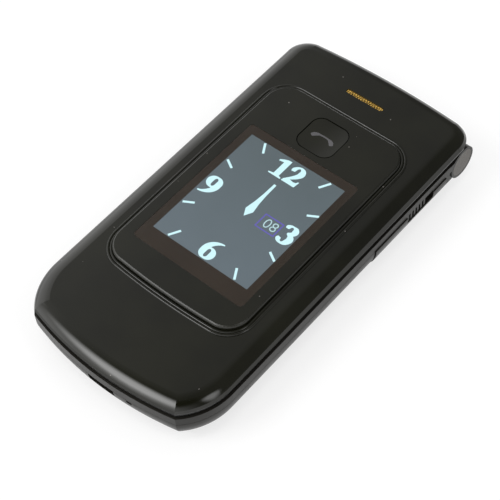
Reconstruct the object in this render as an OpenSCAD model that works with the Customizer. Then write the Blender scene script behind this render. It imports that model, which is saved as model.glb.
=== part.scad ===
// Clamshell mobile phone, closed, lying on its back.
// +X is the right side, +Y the hinge end, +Z up. The origin lies on the table,
// under the middle of the closed phone.

/* [Body] */
// Width across the straight sides
body_w = 53.6; // [52:0.2:58]
// Length from the chin to the hinge end of the lid
body_l = 105.9; // [103:0.5:114]
// Radius of the bowed chin, seen from above
chin_bow_r = 90; // [70:1:150]
// Radius of the bowed hinge end of the lid, seen from above
end_bow_r = 240; // [150:10:400]
// Radius of the chin corners, seen from above
chin_corner_r = 16.8; // [15:0.2:18]
// Distance from the chin to the centre of its corner arcs
chin_corner_set = 15; // [13.5:0.1:16]
// Radius of the lid's corners at the hinge end, seen from above
end_corner_r = 6.5; // [4:0.5:8]
// Wall thickness of the casings
wall = 1.1; // [0.9:0.05:1.3]
// Radius of the rounded bottom edge
bottom_r = 8.6; // [8:0.1:9.4]
// Radius of the base's bottom edge at the hinge end
heel_r = 5; // [3:0.5:6]

/* [Levels above the table] */
// Top of the raised outer panel
body_h = 16.8; // [16.6:0.05:17.4]
// Parting line between the front casing and the rear casing
parting_z = 9.05; // [8.9:0.05:9.2]
// Face of the keypad deck
deck_z = 11.45; // [11.3:0.05:11.6]
// Gap between the deck and the closed lid
lid_gap = 0.35; // [0.3:0.05:0.5]
// Height of the lid's recessed inner frame
lid_frame_h = 1.35; // [1.2:0.05:1.5]
// Lid top surface at the hinge end
lid_top_hinge = 15.95; // [15.8:0.05:16.2]
// Lid top surface at the chin
lid_top_chin = 15.15; // [15:0.05:15.5]

/* [Lid edge] */
// Radius of the rolled edge of the lid
roll_r = 5.2; // [4.5:0.1:6]
// Angle that the roll turns before the edge bevel
roll_angle = 44; // [35:1:50]
// Width of the bevel below the roll
bevel_w = 0.6; // [0.3:0.05:0.8]
// Height of the bevel below the roll
bevel_h = 0.95; // [0.6:0.05:1.1]

/* [Outer panel and display] */
// Width of the raised panel
panel_w = 39; // [38:0.1:40]
// End of the panel towards the hinge, from the middle of the phone
panel_far_at = 35.2; // [33.5:0.1:35.4]
// End of the panel towards the chin, from the middle of the phone
panel_near_at = -30.1; // [-31:0.1:-29]
// Corner radius of the panel
panel_r = 6; // [4:0.5:7]
// Radius of the panel's bowed end
panel_bow_r = 190; // [150:10:300]
// Chamfer round the panel's top
panel_chamfer = 0.45; // [0.3:0.05:0.6]
// Width of the window in the panel
window_w = 32.6; // [31:0.1:34]
// Length of the window
window_length = 42.2; // [40:0.1:43]
// Middle of the window along Y
window_at = -1.55; // [-2:0.05:-1]
// Thickness of the outer window
window_t = 0.8; // [0.6:0.05:0.9]
// Side of the square outer key
outer_key_w = 10.2; // [9:0.1:10.4]
// Corner radius of the outer key
outer_key_r = 2.7; // [2:0.1:3.5]
// Middle of the outer key along Y
outer_key_at = 26.5; // [26.45:0.05:26.7]
// Travel of the outer key
outer_key_travel = 0.35; // [0.2:0.05:0.35]
// Length of the speaker slot
mesh_l = 11; // [9:0.5:13]
// Width of the speaker slot
mesh_w = 1.3; // [1.1:0.1:1.6]
// Distance from the hinge end of the lid to the middle of the speaker slot
mesh_set = 10.1; // [9.8:0.05:11]

/* [Hinge] */
// Distance from the hinge end of the lid to the hinge axis
hinge_inset = 6.3; // [6.2:0.05:6.5]
// Height of the hinge axis
hinge_z = 8.4; // [8.3:0.05:8.45]
// Radius of the hinge barrel
barrel_r = 4.35; // [4.2:0.05:4.4]
// Half length of the lid's middle knuckle
lid_knuckle_x = 15.2; // [13:0.1:17]
// Side gap between knuckles
knuckle_gap = 0.3; // [0.2:0.05:0.5]
// Radius of the hinge pin
pin_r = 1.5; // [1.2:0.1:1.8]
// Running clearance of the pin, on the radius
pin_clear = 0.05; // [0.03:0.01:0.08]
// Radius of the spring cartridge
cartridge_r = 2.9; // [2.6:0.1:3.1]
// Radius of the end cap discs
cap_r = 3.7; // [3.5:0.05:3.85]
// Thickness of the end cap discs
cap_t = 0.5; // [0.4:0.05:0.8]

/* [Keypad] */
// Width of a number key
key_width = 13.4; // [12:0.1:13.5]
// Length of a number key
key_length = 10.4; // [9:0.1:11]
// Corner radius of a number key
key_r = 2.2; // [1:0.1:3]
// Spacing of the number keys across the phone
key_column_pitch = 15; // [14.8:0.1:15.1]
// Spacing of the number keys along the phone
key_row_pitch = 12.5; // [12:0.1:13]
// Middle of the first row of number keys
first_row_at = 6.5; // [5.5:0.1:6.6]
// Gap round a key
key_gap = 0.2; // [0.15:0.05:0.3]
// Travel of a key
key_travel = 0.4; // [0.3:0.05:0.4]
// Outer radius of the up and down rocker
nav_r = 9.2; // [8.5:0.1:9.4]
// Radius of the middle key
ok_r = 4.2; // [3.8:0.1:4.4]
// Middle of the rocker along Y
nav_at = 27; // [26.5:0.1:27.5]

/* [Base inside] */
// Width of the battery
battery_w = 34; // [30:0.5:34]
// Length of the battery
battery_length = 50; // [44:0.5:50]
// Thickness of the battery
battery_t = 4.4; // [4:0.1:4.4]
// Hinge end of the battery cover, from the middle of the phone
cover_at = 12.25; // [12:0.05:12.5]
// How far the rear casing stands proud of the cover
proud = 0.25; // [0.1:0.05:0.35]
// Width of the micro USB shell
usb_w = 7.4; // [7:0.1:8]
// Height of the micro USB shell
usb_h = 2.4; // [2.2:0.1:2.6]
// Middle of the micro USB port along X
usb_x = 1.2; // [-1:0.1:1.5]
// Length of the slide switch recess
slider_recess_l = 10; // [9:0.1:11]
// Length of the slide switch knob
slider_l = 7; // [6:0.1:7.2]
// Middle of the slide switch recess along Y
slider_at = 29.55; // [29:0.05:30]
// Travel of the slide switch
slider_travel = 2.4; // [2:0.1:2.6]

/* [Hidden] */

$fn = 96;
big_fn = 360;          // circles of large radius
tiny = 0.01;

hw = body_w / 2;
across = body_w / 53.6; // the widths above are those of a body this wide
along = body_l / 105.9; // the places and lengths along Y are those of a body this long
chin_y = -body_l / 2;
end_y = body_l / 2;
hinge_y = end_y - hinge_inset;
end_cx = hw - end_corner_r;
end_bow_y = end_y - end_bow_r;
roll_from = 2;         // angle at which the roll leaves the flat top
meet = 0.035;          // how far a corner arc reaches past the bow that trims it
end_cy = corner_level(end_bow_y, 1, end_bow_r, end_corner_r, end_cx);
lid_face_z = deck_z + lid_gap;
lid_edge_z = lid_face_z + lid_frame_h;
lid_tilt = atan((lid_top_hinge - lid_top_chin) / body_l);
seam = 0.08;           // gap between casings that meet
fit = 0.05;            // clearance of a piece in its seat
sweep_gap = 0.35;      // clearance round the turning barrel
lid_depth = lid_top_hinge - lid_face_z + 0.5;
panel_y1 = panel_far_at * along;
panel_y0 = panel_near_at * along;
window_y = window_at * along;
window_l = window_length * along;
outer_key_y = outer_key_at * along;
mesh_y = end_y - mesh_set;

// inner frame of the lid and the stack of pieces that it carries
frame_set = wall + fit;
frame_floor = 0.8;
frame_floor_z = lid_face_z + frame_floor;
frame_wall_top = lid_edge_z + 0.35;
frame_reveal = 0.5;    // from the side of the lid to the side of the frame
frame_lip_top = lid_edge_z - 0.3;
inner_window_t = 0.7;
inner_window_w = 44;
inner_window_l = 64 * along;
inner_window_y = -3 * along;
inner_window_r = 2.5;
inner_display_w = 41;
inner_display_l = inner_window_l - 8;
inner_display_t = 1.5;
inner_display_z = lid_face_z + inner_window_t;
lid_board_t = 0.6;
lid_board_z = inner_display_z + inner_display_t + fit;
bezel_z = lid_board_z + lid_board_t;
bezel_gap = 0.15;      // groove between the panel and the lid casing
bead_w = 0.62;
bead_h = 0.35;
bead_set = 0.1;        // from the panel's side to the inner bead
bead_pitch = 0.72;     // from the inner bead to the outer one
bead_step = 0.14;
display_w = window_w + 1.4;
display_l = window_l + 1.6;
display_t = body_h - window_t - bezel_z - 2 * fit;
window_r = 1;
outer_key_gap = 0.25;
outer_key_flange = 0.55;
outer_pocket_gap = 0.15;
outer_key_z = lid_board_z + lid_board_t + 0.25 + outer_key_travel + 2 * fit;
outer_flange_t = 0.4;
outer_dome_h = 0.25;
outer_key_dish = 0.35;
outer_dish_r = 60;
mesh_depth = 0.3;
mesh_flange = 0.6;
speaker_l = 15;
speaker_w = 7.4;
speaker_y = mesh_y - 2.5;
earpiece_y = chin_y + 8.95;
earpiece_l = 12;
earpiece_w = 5.5;
earpiece_t = 1.3;
magnet_w = 4;
magnet_t = 1.2;
magnet_x = 11;
slot_l = 9;
slot_w = 1.6;

// screws
screw_head_r = 1.05;
screw_head_h = 0.6;
screw_r = 0.6;
boss_r = 1.3;
screw_gap = 0.15;
lid_screw_x = 20.6;
lid_screw_y0 = chin_y + 12.95;
lid_screw_y1 = end_y - 14.55;
lid_screw_xy = [
    [lid_screw_x, lid_screw_y0], [-lid_screw_x, lid_screw_y0],
    [lid_screw_x, lid_screw_y1], [-lid_screw_x, lid_screw_y1]
];
bumper_r = 1.7;
bumper_t = 0.5;
base_screw_x = hw - 3.35;
base_screw_y0 = -35.5 * along;
base_screw_y1 = 0.25 * along;
base_screw_xy = [
    [base_screw_x, base_screw_y1], [-base_screw_x, base_screw_y1],
    [base_screw_x, base_screw_y0], [-base_screw_x, base_screw_y0]
];

// base stack
cover_t = wall;
battery_z = cover_t + 0.1;
bay_wall = 1.1;
bay_gap = 0.2;
tray_z = battery_z + battery_t + 0.1;
tray_t = 0.7;
tray_top = tray_z + tray_t;
tray_set = cover_t + 0.15;
cover_y = cover_at * along;
battery_l = battery_length * along;
contact_l = 2.4;       // from the battery to the hinge end of its cover
battery_y = cover_y - contact_l - battery_l / 2;
board_z = 7.6;
board_t = 0.8;
board_w = 40;
shield_w = 32;
shield_l = 26;
shield_y = -8;
motor_r = 4;
motor_h = 2.8;
motor_x = -14;
board_y0 = chin_y + 7.2;
board_y1 = end_y - 14.45;
dome_t = 0.1;
dome_h = 0.2;
key_w = key_width * across;
key_l = key_length * along;
key_pitch_x = key_column_pitch * across;
key_pitch_y = key_row_pitch * along;
key_row_y = first_row_at * along;
nav_y = nav_at * along;
mat_z = board_z + board_t + dome_t + dome_h + fit;
mat_t = 0.5;
mat_y0 = key_row_y - 3 * key_pitch_y - key_l / 2 - 3;
mat_y1 = board_y1 - 0.3;
key_flange_z = mat_z + mat_t + key_travel + fit;
key_flange_t = 0.45;
key_flange = 0.35;
key_top_z = deck_z - 0.1;
key_crown_r = 45;
deck_t = 1.05;
deck_under_z = deck_z - deck_t;
deck_end_y = hinge_y - 5.1;
base_end_y = end_y - 13;
knuckle_x0 = lid_knuckle_x + knuckle_gap;
cap_gap = 0.14;
nav_gap = 0.3;
nav_top_z = deck_z - 0.25;
ok_gap = 0.5;
soft_w = 12 * across;
soft_l = 6;
side_key_x = 17.6 * across;
soft_y = nav_y + 5.6;
talk_y = nav_y - 5.6;

antenna_w = 34;
antenna_l = 4;
antenna_z = 3.2;

slider_h = 2.4;
slider_z = 6.95;
slider_gap = 0.12;
slider_recess_d = 1.5;
slider_ribs = 6;
slider_y0 = slider_at * along - slider_recess_l / 2;
slider_backing = 1.2;
slider_stem_l = 2;
slider_stem_h = 0.9;
switch_l = 6.5;

usb_z = parting_z - 0.15 - usb_h;
usb_l = 5.6;
usb_y = chin_y + 1.6;
usb_skin = 0.25;
mic_x = 9.3;
mic_w = 1.6;
mic_h = 0.9;
mic_z = parting_z - 0.75;

board_color = [0.05, 0.22, 0.12];
steel_color = [0.62, 0.62, 0.62];
casing_color = [0.08, 0.08, 0.08];

// ---------------------------------------------------------------- outlines

// rounded rectangle, middle at the origin
module rounded(w, l, r) {
    if (w > 2 * r + tiny) square([w - 2 * r, l], center = true);
    if (l > 2 * r + tiny) square([w, l - 2 * r], center = true);
    for (x = [-1, 1], y = [-1, 1])
        translate([x * (w / 2 - r), y * (l / 2 - r)]) circle(r);
}

// rounded rectangle whose lower end is a shallow arc; grow moves it outwards
module bowed(w, y0, y1, r, bow_r, grow = 0) {
    half = w / 2 + grow;
    rr = r + grow;
    br = bow_r + grow;
    by = y0 + bow_r;
    cx = half - rr;
    cy = corner_level(by, -1, br, rr, cx);
    top = y1 + grow;
    intersection() {
        union() {
            translate([-half, cy]) square([2 * half, top - rr - cy]);
            translate([-cx, y0 - grow - 1]) square([2 * cx, top - y0 + grow + 1]);
            for (x = [-cx, cx], y = [cy, top - rr]) translate([x, y]) circle(rr);
        }
        translate([0, by]) circle(br, $fn = big_fn);
    }
}

// level of a corner's centre, just far enough out for its arc to meet a bow cleanly
function corner_level(bow_y, side, bow_r, r, cx) =
    round(100 * (bow_y + side * (sqrt(pow(bow_r - r, 2) - cx * cx) + meet))) / 100;

// plan of the casings, moved inwards by inset, cut off at far_y
module plan(inset = 0, far_y = end_y) {
    cx = hw - chin_corner_r;
    cy = chin_y + chin_corner_set;
    intersection() {
        union() {
            translate([-hw + inset, cy]) square([body_w - 2 * inset, far_y - cy]);
            translate([-cx, chin_y]) square([2 * cx, chin_corner_set + 1]);
            for (x = [-cx, cx]) translate([x, cy]) circle(chin_corner_r - inset);
        }
        translate([0, chin_y + chin_bow_r]) circle(chin_bow_r - inset, $fn = big_fn);
    }
}

// plan of the lid, with its rounded and bowed hinge end
module lid_plan(inset = 0) {
    intersection() {
        union() {
            plan(inset, end_cy);
            for (x = [-end_cx, end_cx]) translate([x, end_cy]) circle(end_corner_r - inset);
            translate([-end_cx, end_cy - 1]) square([2 * end_cx, end_corner_r + 3]);
        }
        translate([0, end_bow_y]) circle(end_bow_r - inset, $fn = big_fn);
    }
}

// ------------------------------------------------------- solids of the casings

// Profiles are drawn as (distance outwards, height). $reach is the distance of the
// outer edge from the line or axis that the profile is swept along.
module lid_profile() {
    run = roll_r * (sin(roll_angle) - sin(roll_from));
    drop = roll_r * (cos(roll_from) - cos(roll_angle));
    start = $reach - bevel_w - run;
    translate([0, -lid_depth]) square([start, lid_depth]);
    intersection() {
        translate([start - roll_r * sin(roll_from), -roll_r * cos(roll_from)])
            circle(roll_r);
        translate([start - tiny, -drop]) square([run + tiny, drop]);
    }
    polygon([
        [start - tiny, -lid_depth], [$reach, -lid_depth], [$reach, -drop - bevel_h],
        [$reach - bevel_w, -drop], [start - tiny, -drop]
    ]);
}

module base_profile(inset) {
    r = bottom_r - inset;
    translate([0, inset]) square([$reach - r, deck_z]);
    translate([0, bottom_r]) square([$reach, deck_z - bottom_r + 1]);
    intersection() {
        translate([$reach - r, bottom_r]) circle(r);
        translate([$reach - r - tiny, inset]) square([r + tiny, r]);
    }
}

// straight stretch from y0 to y1, the profile facing +X and -X
module side_sweep(reach, y0, y1) {
    $reach = reach;
    for (m = [0, 1]) mirror([m, 0, 0])
        translate([0, y1, 0]) rotate([90, 0, 0]) linear_extrude(y1 - y0) children();
}

module disc_sweep(reach, x, y, fn = 96) {
    $reach = reach;
    translate([x, y, 0]) rotate_extrude($fn = fn) children();
}

// casing form with rolled sides, chin and chin corners
module casing(inset, far_y, z0, z1) {
    cx = hw - chin_corner_r;
    cy = chin_y + chin_corner_set;
    intersection() {
        union() {
            side_sweep(hw - inset, cy, far_y) children();
            for (x = [-cx, cx]) disc_sweep(chin_corner_r - inset, x, cy) children();
            translate([-cx, chin_y - 1, z0]) cube([2 * cx, chin_corner_set + 2, z1 - z0]);
        }
        disc_sweep(chin_bow_r - inset, 0, chin_y + chin_bow_r, big_fn) children();
    }
}

// moves a piece drawn under the flat plane z = 0 to the lid's sloping top
module on_lid_top() {
    translate([0, end_y, lid_top_hinge]) rotate([lid_tilt, 0, 0]) translate([0, -end_y, 0])
        children();
}

// outside of the lid
module lid_form() {
    on_lid_top() intersection() {
        union() {
            casing(0, end_cy, -lid_depth, 0) lid_profile();
            for (x = [-end_cx - meet, end_cx + meet])
                disc_sweep(end_corner_r, x, end_cy) lid_profile();
            translate([-end_cx, end_cy - 1, -lid_depth])
                cube([2 * end_cx, end_corner_r + 3, lid_depth]);
        }
        disc_sweep(end_bow_r, 0, end_bow_y, big_fn) lid_profile();
    }
}

// outside of the base, moved inwards by inset and upwards by rise
module base_form(inset = 0, far_y = base_end_y, rise = undef) {
    up = is_undef(rise) ? inset : rise;
    casing(inset, far_y, up, deck_z + 1) base_profile(up);
}

module slab(z0, z1, y0 = chin_y - 5, y1 = end_y + 5) {
    translate([-hw - 5, y0, z0]) cube([body_w + 10, y1 - y0, z1 - z0]);
}

// cylinder along the hinge axis from x0 to x1
module on_hinge(x0, x1, r) {
    translate([x0, hinge_y, hinge_z]) rotate([0, 90, 0]) cylinder(h = x1 - x0, r = r);
}

module post(x, y, z0, z1, r) {
    translate([x, y, z0]) cylinder(h = z1 - z0, r = r);
}

module plate(w, l, r, z0, z1) {
    translate([0, 0, z0]) linear_extrude(z1 - z0) rounded(w, l, r);
}

module panel(grow, z0, z1) {
    translate([0, 0, z0]) linear_extrude(z1 - z0)
        bowed(panel_w, panel_y0, panel_y1, panel_r, panel_bow_r, grow);
}

// ---------------------------------------------------------------- lid

module lid_outer_shell() {
    color(casing_color) difference() {
        union() {
            intersection() {
                lid_form();
                slab(lid_edge_z, body_h);
            }
            beads();
        }
        difference() {
            lid_cavity();
            for (p = lid_screw_xy) post(p[0], p[1], lid_screw_boss_z, body_h, boss_r);
        }
        panel(bezel_gap, lid_edge_z - 1, body_h + 1);
        on_lid_top() translate([0, mesh_y, 0]) plate(mesh_l, mesh_w, mesh_w / 2, -2 * wall, 1);
        for (p = lid_screw_xy)
            post(p[0], p[1], lid_screw_boss_z - 1, lid_screw_tip_z, screw_r);
    }
}
lid_screw_boss_z = frame_floor_z + 0.55;
lid_screw_tip_z = lid_screw_boss_z + 1.1;

// hollow under the lid's skin, stepped to follow the rolled edge
module lid_cavity() {
    translate([0, 0, lid_edge_z - 1]) linear_extrude(frame_wall_top - lid_edge_z + 1 + fit)
        lid_plan(wall);
    on_lid_top() translate([0, 0, -lid_depth]) {
        linear_extrude(lid_depth - wall - 0.35) lid_plan(wall + 1.3);
        linear_extrude(lid_depth - wall) lid_plan(wall + 3.1);
    }
}

// two raised beads round the panel, each in two steps
module beads() {
    for (ring = [0, 1], step = [0, 1]) {
        from = bead_set + ring * bead_pitch;
        on_lid_top() difference() {
            panel(from + bead_w - step * bead_step, -wall / 2, bead_h * (0.6 + 0.4 * step));
            panel(from + step * bead_step, -wall, body_h);
        }
    }
}

module panel_bezel() {
    color(casing_color) difference() {
        union() {
            panel(0, bezel_z, body_h - panel_chamfer);
            hull() {
                panel(0, body_h - panel_chamfer - tiny, body_h - panel_chamfer, $fn = 48);
                panel(-panel_chamfer * 0.4, body_h - panel_chamfer * 0.45,
                    body_h - panel_chamfer * 0.4, $fn = 48);
                panel(-panel_chamfer, body_h - tiny, body_h, $fn = 48);
            }
        }
        translate([0, window_y, 0]) plate(window_w, window_l, window_r, bezel_z - 1, body_h + 1);
        translate([0, window_y, 0])
            plate(display_w + 2 * fit, display_l + 2 * fit, window_r / 2, bezel_z - 1,
                body_h - window_t);
        translate([0, outer_key_y, 0]) {
            plate(outer_key_w + 2 * outer_key_gap, outer_key_w + 2 * outer_key_gap,
                outer_key_r + outer_key_gap, bezel_z - 1, body_h + 1);
            plate(outer_pocket_w, outer_pocket_w, outer_key_r, bezel_z - 1,
                outer_key_z + outer_flange_t + fit);
        }
    }
}
outer_flange_w = outer_key_w + 2 * outer_key_flange;
outer_pocket_w = outer_flange_w + 2 * outer_pocket_gap;

module outer_window() {
    color([0.25, 0.22, 0.2, 0.4]) translate([0, window_y, 0])
        plate(window_w, window_l, window_r, body_h - window_t, body_h);
}

module outer_display() {
    color([0.4, 0.44, 0.46]) translate([0, window_y, 0])
        plate(display_w, display_l, window_r / 2, bezel_z + fit, bezel_z + fit + display_t);
}

// key cap with a crowned top, in the middle of the axes
module crowned_cap(w, l, r, z0, z1, crown_r) {
    intersection() {
        plate(w, l, r, z0, z1 + 1);
        translate([-w, 0, z1 - crown_r]) rotate([0, 90, 0])
            cylinder(h = 2 * w, r = crown_r, $fn = big_fn);
    }
}

module outer_call_key() {
    color(casing_color) translate([0, outer_key_y, 0]) {
        plate(outer_flange_w, outer_flange_w, outer_key_r, outer_key_z,
            outer_key_z + outer_flange_t);
        difference() {
            plate(outer_key_w, outer_key_w, outer_key_r, outer_key_z, body_h);
            translate([0, 0, body_h - outer_key_dish + outer_dish_r])
                sphere(outer_dish_r, $fn = 240);
        }
    }
}

module speaker_mesh() {
    pitch = 0.75;
    count = floor((mesh_l - mesh_w) / pitch);
    color([0.78, 0.6, 0.25]) on_lid_top() translate([0, mesh_y, 0]) difference() {
        union() {
            plate(mesh_l - 2 * fit, mesh_w - 2 * fit, mesh_w / 2 - fit,
                -wall - mesh_depth, -mesh_depth);
            plate(mesh_l + 2 * mesh_flange, mesh_w + 2 * mesh_flange, mesh_w / 2,
                -wall - mesh_depth, -wall);
        }
        for (i = [0 : count - 1], row = [-1, 1])
            translate([(i - (count - 1) / 2 + row / 4) * pitch, row * mesh_w / 5, -2 * wall])
                cylinder(h = 3 * wall, r = 0.17, $fn = 16);
    }
}

module loudspeaker() {
    top = lid_top_hinge - (end_y - speaker_y + speaker_w / 2) * tan(lid_tilt)
        - wall - mesh_depth - fit;
    color([0.2, 0.2, 0.2]) translate([0, speaker_y, 0])
        plate(speaker_l, speaker_w, 2, frame_floor_z, top);
}

module lid_board() {
    color(board_color) {
        panel(-0.4, lid_board_z, lid_board_z + lid_board_t);
        post(0, outer_key_y, lid_board_z, lid_board_z + lid_board_t + outer_dome_h, 2.2);
    }
}

module earpiece() {
    color([0.3, 0.3, 0.32]) translate([0, earpiece_y, 0])
        plate(earpiece_l, earpiece_w, 2, frame_floor_z, frame_floor_z + earpiece_t);
}

module earpiece_mesh() {
    color([0.15, 0.15, 0.15]) translate([0, earpiece_y, 0])
        plate(slot_l - 2 * fit, slot_w - 2 * fit, slot_w / 2 - fit, lid_face_z + 0.2,
            frame_floor_z);
}

module inner_display() {
    color([0.1, 0.1, 0.12]) translate([0, inner_window_y, 0])
        plate(inner_display_w, inner_display_l, 0.6, inner_display_z,
            inner_display_z + inner_display_t);
}

module inner_window() {
    color([0.05, 0.05, 0.06, 0.5]) translate([0, inner_window_y, 0])
        plate(inner_window_w, inner_window_l, inner_window_r, lid_face_z,
            lid_face_z + inner_window_t);
}

module lid_inner_shell() {
    color(casing_color) difference() {
        union() {
            difference() {
                union() {
                    translate([0, 0, lid_face_z]) linear_extrude(frame_wall_top - lid_face_z)
                        lid_plan(frame_set);
                    translate([0, 0, lid_face_z]) linear_extrude(frame_lip_top - lid_face_z)
                        lid_plan(frame_reveal);
                }
                translate([0, 0, frame_floor_z]) linear_extrude(lid_depth)
                    lid_plan(frame_set + wall);
                for (x0 = [-hw, lid_knuckle_x])
                    on_hinge(x0, x0 + hw - lid_knuckle_x, barrel_r + sweep_gap);
            }
            lid_knuckle();
            for (p = lid_screw_xy)
                post(p[0], p[1], lid_face_z, lid_screw_boss_z, bumper_r + 0.9);
        }
        translate([0, inner_window_y, 0]) {
            plate(inner_window_w + 2 * fit, inner_window_l + 2 * fit, inner_window_r,
                lid_face_z - 1, lid_face_z + inner_window_t);
            plate(inner_display_w + 2 * fit, inner_display_l + 2 * fit, 0.6,
                lid_face_z - 1, lid_depth + lid_face_z);
        }
        translate([0, earpiece_y, 0])
            plate(slot_l, slot_w, slot_w / 2, lid_face_z - 1, frame_floor_z + 1);
        for (p = lid_screw_xy) {
            post(p[0], p[1], lid_face_z - 1, lid_head_z + screw_head_h, bumper_r + fit);
            post(p[0], p[1], lid_face_z - 1, body_h, screw_r + screw_gap / 2);
        }
        on_hinge(-lid_knuckle_x - 1, -cartridge_end_x, cartridge_r);
        on_hinge(-cartridge_end_x - 1, lid_knuckle_x + 1, pin_r + pin_clear);
        flex_slot();
    }
}
cartridge_end_x = 2;
lid_head_z = lid_face_z + bumper_t - 0.3;

// middle knuckle, joined to the inner frame above it
module lid_knuckle() {
    on_hinge(-lid_knuckle_x, lid_knuckle_x, barrel_r);
    translate([-lid_knuckle_x, hinge_y - 3.2, hinge_z])
        cube([2 * lid_knuckle_x, 6.2, frame_floor_z - hinge_z]);
}

// passage for the flexible strip from the lid into the barrel
module flex_slot() {
    translate([flex_x - 0.3, hinge_y - 1.1, hinge_z]) cube([flex_w + 0.6, 1.2, 6]);
}

flex_x = 3.3;
flex_w = 6.4;
flex_y = speaker_y + speaker_w / 2 + 0.2;

module hinge_flex() {
    color([0.75, 0.45, 0.1]) {
        translate([flex_x, hinge_y - 0.8, hinge_z + pin_r + pin_clear + 0.4])
            cube([flex_w, 0.5, frame_floor_z - hinge_z - pin_r + 0.2]);
        translate([flex_x, flex_y, frame_floor_z])
            cube([flex_w, hinge_y - 0.3 - flex_y, 0.35]);
    }
}

module lid_screws() {
    color(steel_color) for (p = lid_screw_xy) {
        post(p[0], p[1], lid_head_z, lid_head_z + screw_head_h, screw_head_r);
        post(p[0], p[1], lid_head_z, lid_screw_tip_z, screw_r);
    }
}

module lid_bumpers() {
    color([0.1, 0.1, 0.1]) for (p = lid_screw_xy)
        post(p[0], p[1], deck_z + fit, lid_head_z, bumper_r);
}

module lid_magnet() {
    color(steel_color) translate([magnet_x, earpiece_y, frame_floor_z])
        cube([magnet_w, magnet_w, magnet_t]);
}

module hinge_cartridge() {
    color(steel_color) {
        on_hinge(-lid_knuckle_x, -cartridge_end_x, cartridge_r);
        on_hinge(-knuckle_x0 - 8, -lid_knuckle_x + 1, pin_r);
    }
}

// ---------------------------------------------------------------- base

module knuckle(side) {
    x0 = side > 0 ? knuckle_x0 : -hw;
    on_hinge(x0, x0 + hw - knuckle_x0, barrel_r);
}

module base_front_shell() {
    color(casing_color) difference() {
        union() {
            difference() {
                intersection() {
                    base_form(0, deck_end_y);
                    slab(parting_z, deck_z);
                }
                translate([0, 0, parting_z - 1]) linear_extrude(deck_under_z - parting_z + 1)
                    plan(wall, deck_end_y - wall);
            }
            for (side = [-1, 1]) {
                knuckle(side);
                knuckle_neck(side);
            }
            for (p = base_screw_xy) post(p[0], p[1], board_z, deck_under_z + tiny, boss_r);
            slider_backing_block(parting_z, deck_under_z);
        }
        key_openings();
        slider_recess();
        for (p = base_screw_xy) post(p[0], p[1], board_z - 1, base_screw_tip_z, screw_r);
        on_hinge(knuckle_x0 - 1, pin_end_x, pin_r);
        on_hinge(-knuckle_x0 - 8.2, -knuckle_x0 + 1, pin_r + pin_clear);
        on_hinge(hw - cap_t, hw + 1, cap_r + cap_gap);
        on_hinge(-hw - 1, -hw + cap_t, cap_r + cap_gap);
    }
}
pin_end_x = knuckle_x0 + 8;
base_screw_tip_z = deck_under_z - 0.6;

// web from the deck to an outer knuckle, above the parting line
module knuckle_neck(side) {
    x0 = side > 0 ? knuckle_x0 : -hw;
    translate([x0, deck_end_y - wall, parting_z])
        cube([hw - knuckle_x0, hinge_y - deck_end_y + wall - 3, deck_z - parting_z - 0.25]);
}

module key_openings() {
    for (key = number_keys) translate([key[1], key[2], 0])
        plate(key_w + 2 * key_gap, key_l + 2 * key_gap, key_r + key_gap, parting_z, deck_z + 1);
    for (key = side_keys) translate([key[1], key[2], 0])
        plate(soft_w + 2 * key_gap, soft_l + 2 * key_gap, key_r + key_gap, parting_z,
            deck_z + 1);
    post(0, nav_y, parting_z, deck_z + 1, nav_r + nav_gap);
    post(0, nav_y, parting_z, deck_under_z + 0.55, nav_r + nav_gap + 0.4);
}

number_keys = [
    for (i = [0 : 11]) [
        i, ((i % 3) - 1) * key_pitch_x, key_row_y - floor(i / 3) * key_pitch_y
    ]
];
side_keys = [
    [0, -side_key_x, soft_y], [1, side_key_x, soft_y],
    [2, -side_key_x, talk_y], [3, side_key_x, talk_y]
];

module key_cap(x, y, w, l, top) {
    translate([x, y, 0]) {
        plate(w + 2 * key_flange, l + 2 * key_flange, key_r + key_flange, key_flange_z,
            key_flange_z + key_flange_t);
        crowned_cap(w, l, key_r, key_flange_z, top, key_crown_r);
    }
}

module number_key(i) {
    color([0.12, 0.12, 0.12])
        key_cap(number_keys[i][1], number_keys[i][2], key_w, key_l, key_top_z);
}

module side_key(i, shade) {
    color(shade) key_cap(side_keys[i][1], side_keys[i][2], soft_w, soft_l, key_top_z);
}

module nav_rocker() {
    color([0.55, 0.56, 0.58]) difference() {
        union() {
            post(0, nav_y, key_flange_z, nav_top_z, nav_r);
            post(0, nav_y, key_flange_z, key_flange_z + 0.4, nav_r + 0.35);
        }
        post(0, nav_y, key_flange_z - 1, nav_top_z + 1, ok_r + ok_gap);
        translate([0, nav_y, nav_top_z + 0.35]) rotate_extrude()
            translate([(nav_r + ok_r) / 2, 0]) circle(0.9);
    }
}

module ok_key() {
    color([0.12, 0.12, 0.12]) intersection() {
        post(0, nav_y, key_flange_z, nav_top_z + 0.1, ok_r);
        translate([0, nav_y, nav_top_z + 0.1 - 30]) sphere(30, $fn = 200);
    }
}

module keypad_mat() {
    color([0.3, 0.3, 0.32]) translate([0, (mat_y0 + mat_y1) / 2, 0])
        plate(2 * (base_screw_x - boss_r - 0.3), mat_y1 - mat_y0, 3, mat_z, mat_z + mat_t);
}

module dome_sheet() {
    z = board_z + board_t;
    color([0.7, 0.7, 0.72]) {
        translate([0, (mat_y0 + mat_y1) / 2, 0])
            plate(board_w - 1, mat_y1 - mat_y0 - 1, 2, z, z + dome_t);
        for (key = number_keys) post(key[1], key[2], z, z + dome_t + dome_h, 2.2);
        for (key = side_keys) post(key[1], key[2], z, z + dome_t + dome_h, 2.2);
        for (y = [-1, 0, 1]) post(0, nav_y + y * (nav_r + ok_r) / 2, z, z + dome_t + dome_h, 1.9);
    }
}

module main_board() {
    color(board_color) translate([0, (board_y0 + board_y1) / 2, 0])
        plate(board_w, board_y1 - board_y0, 2, board_z, board_z + board_t);
}

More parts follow.
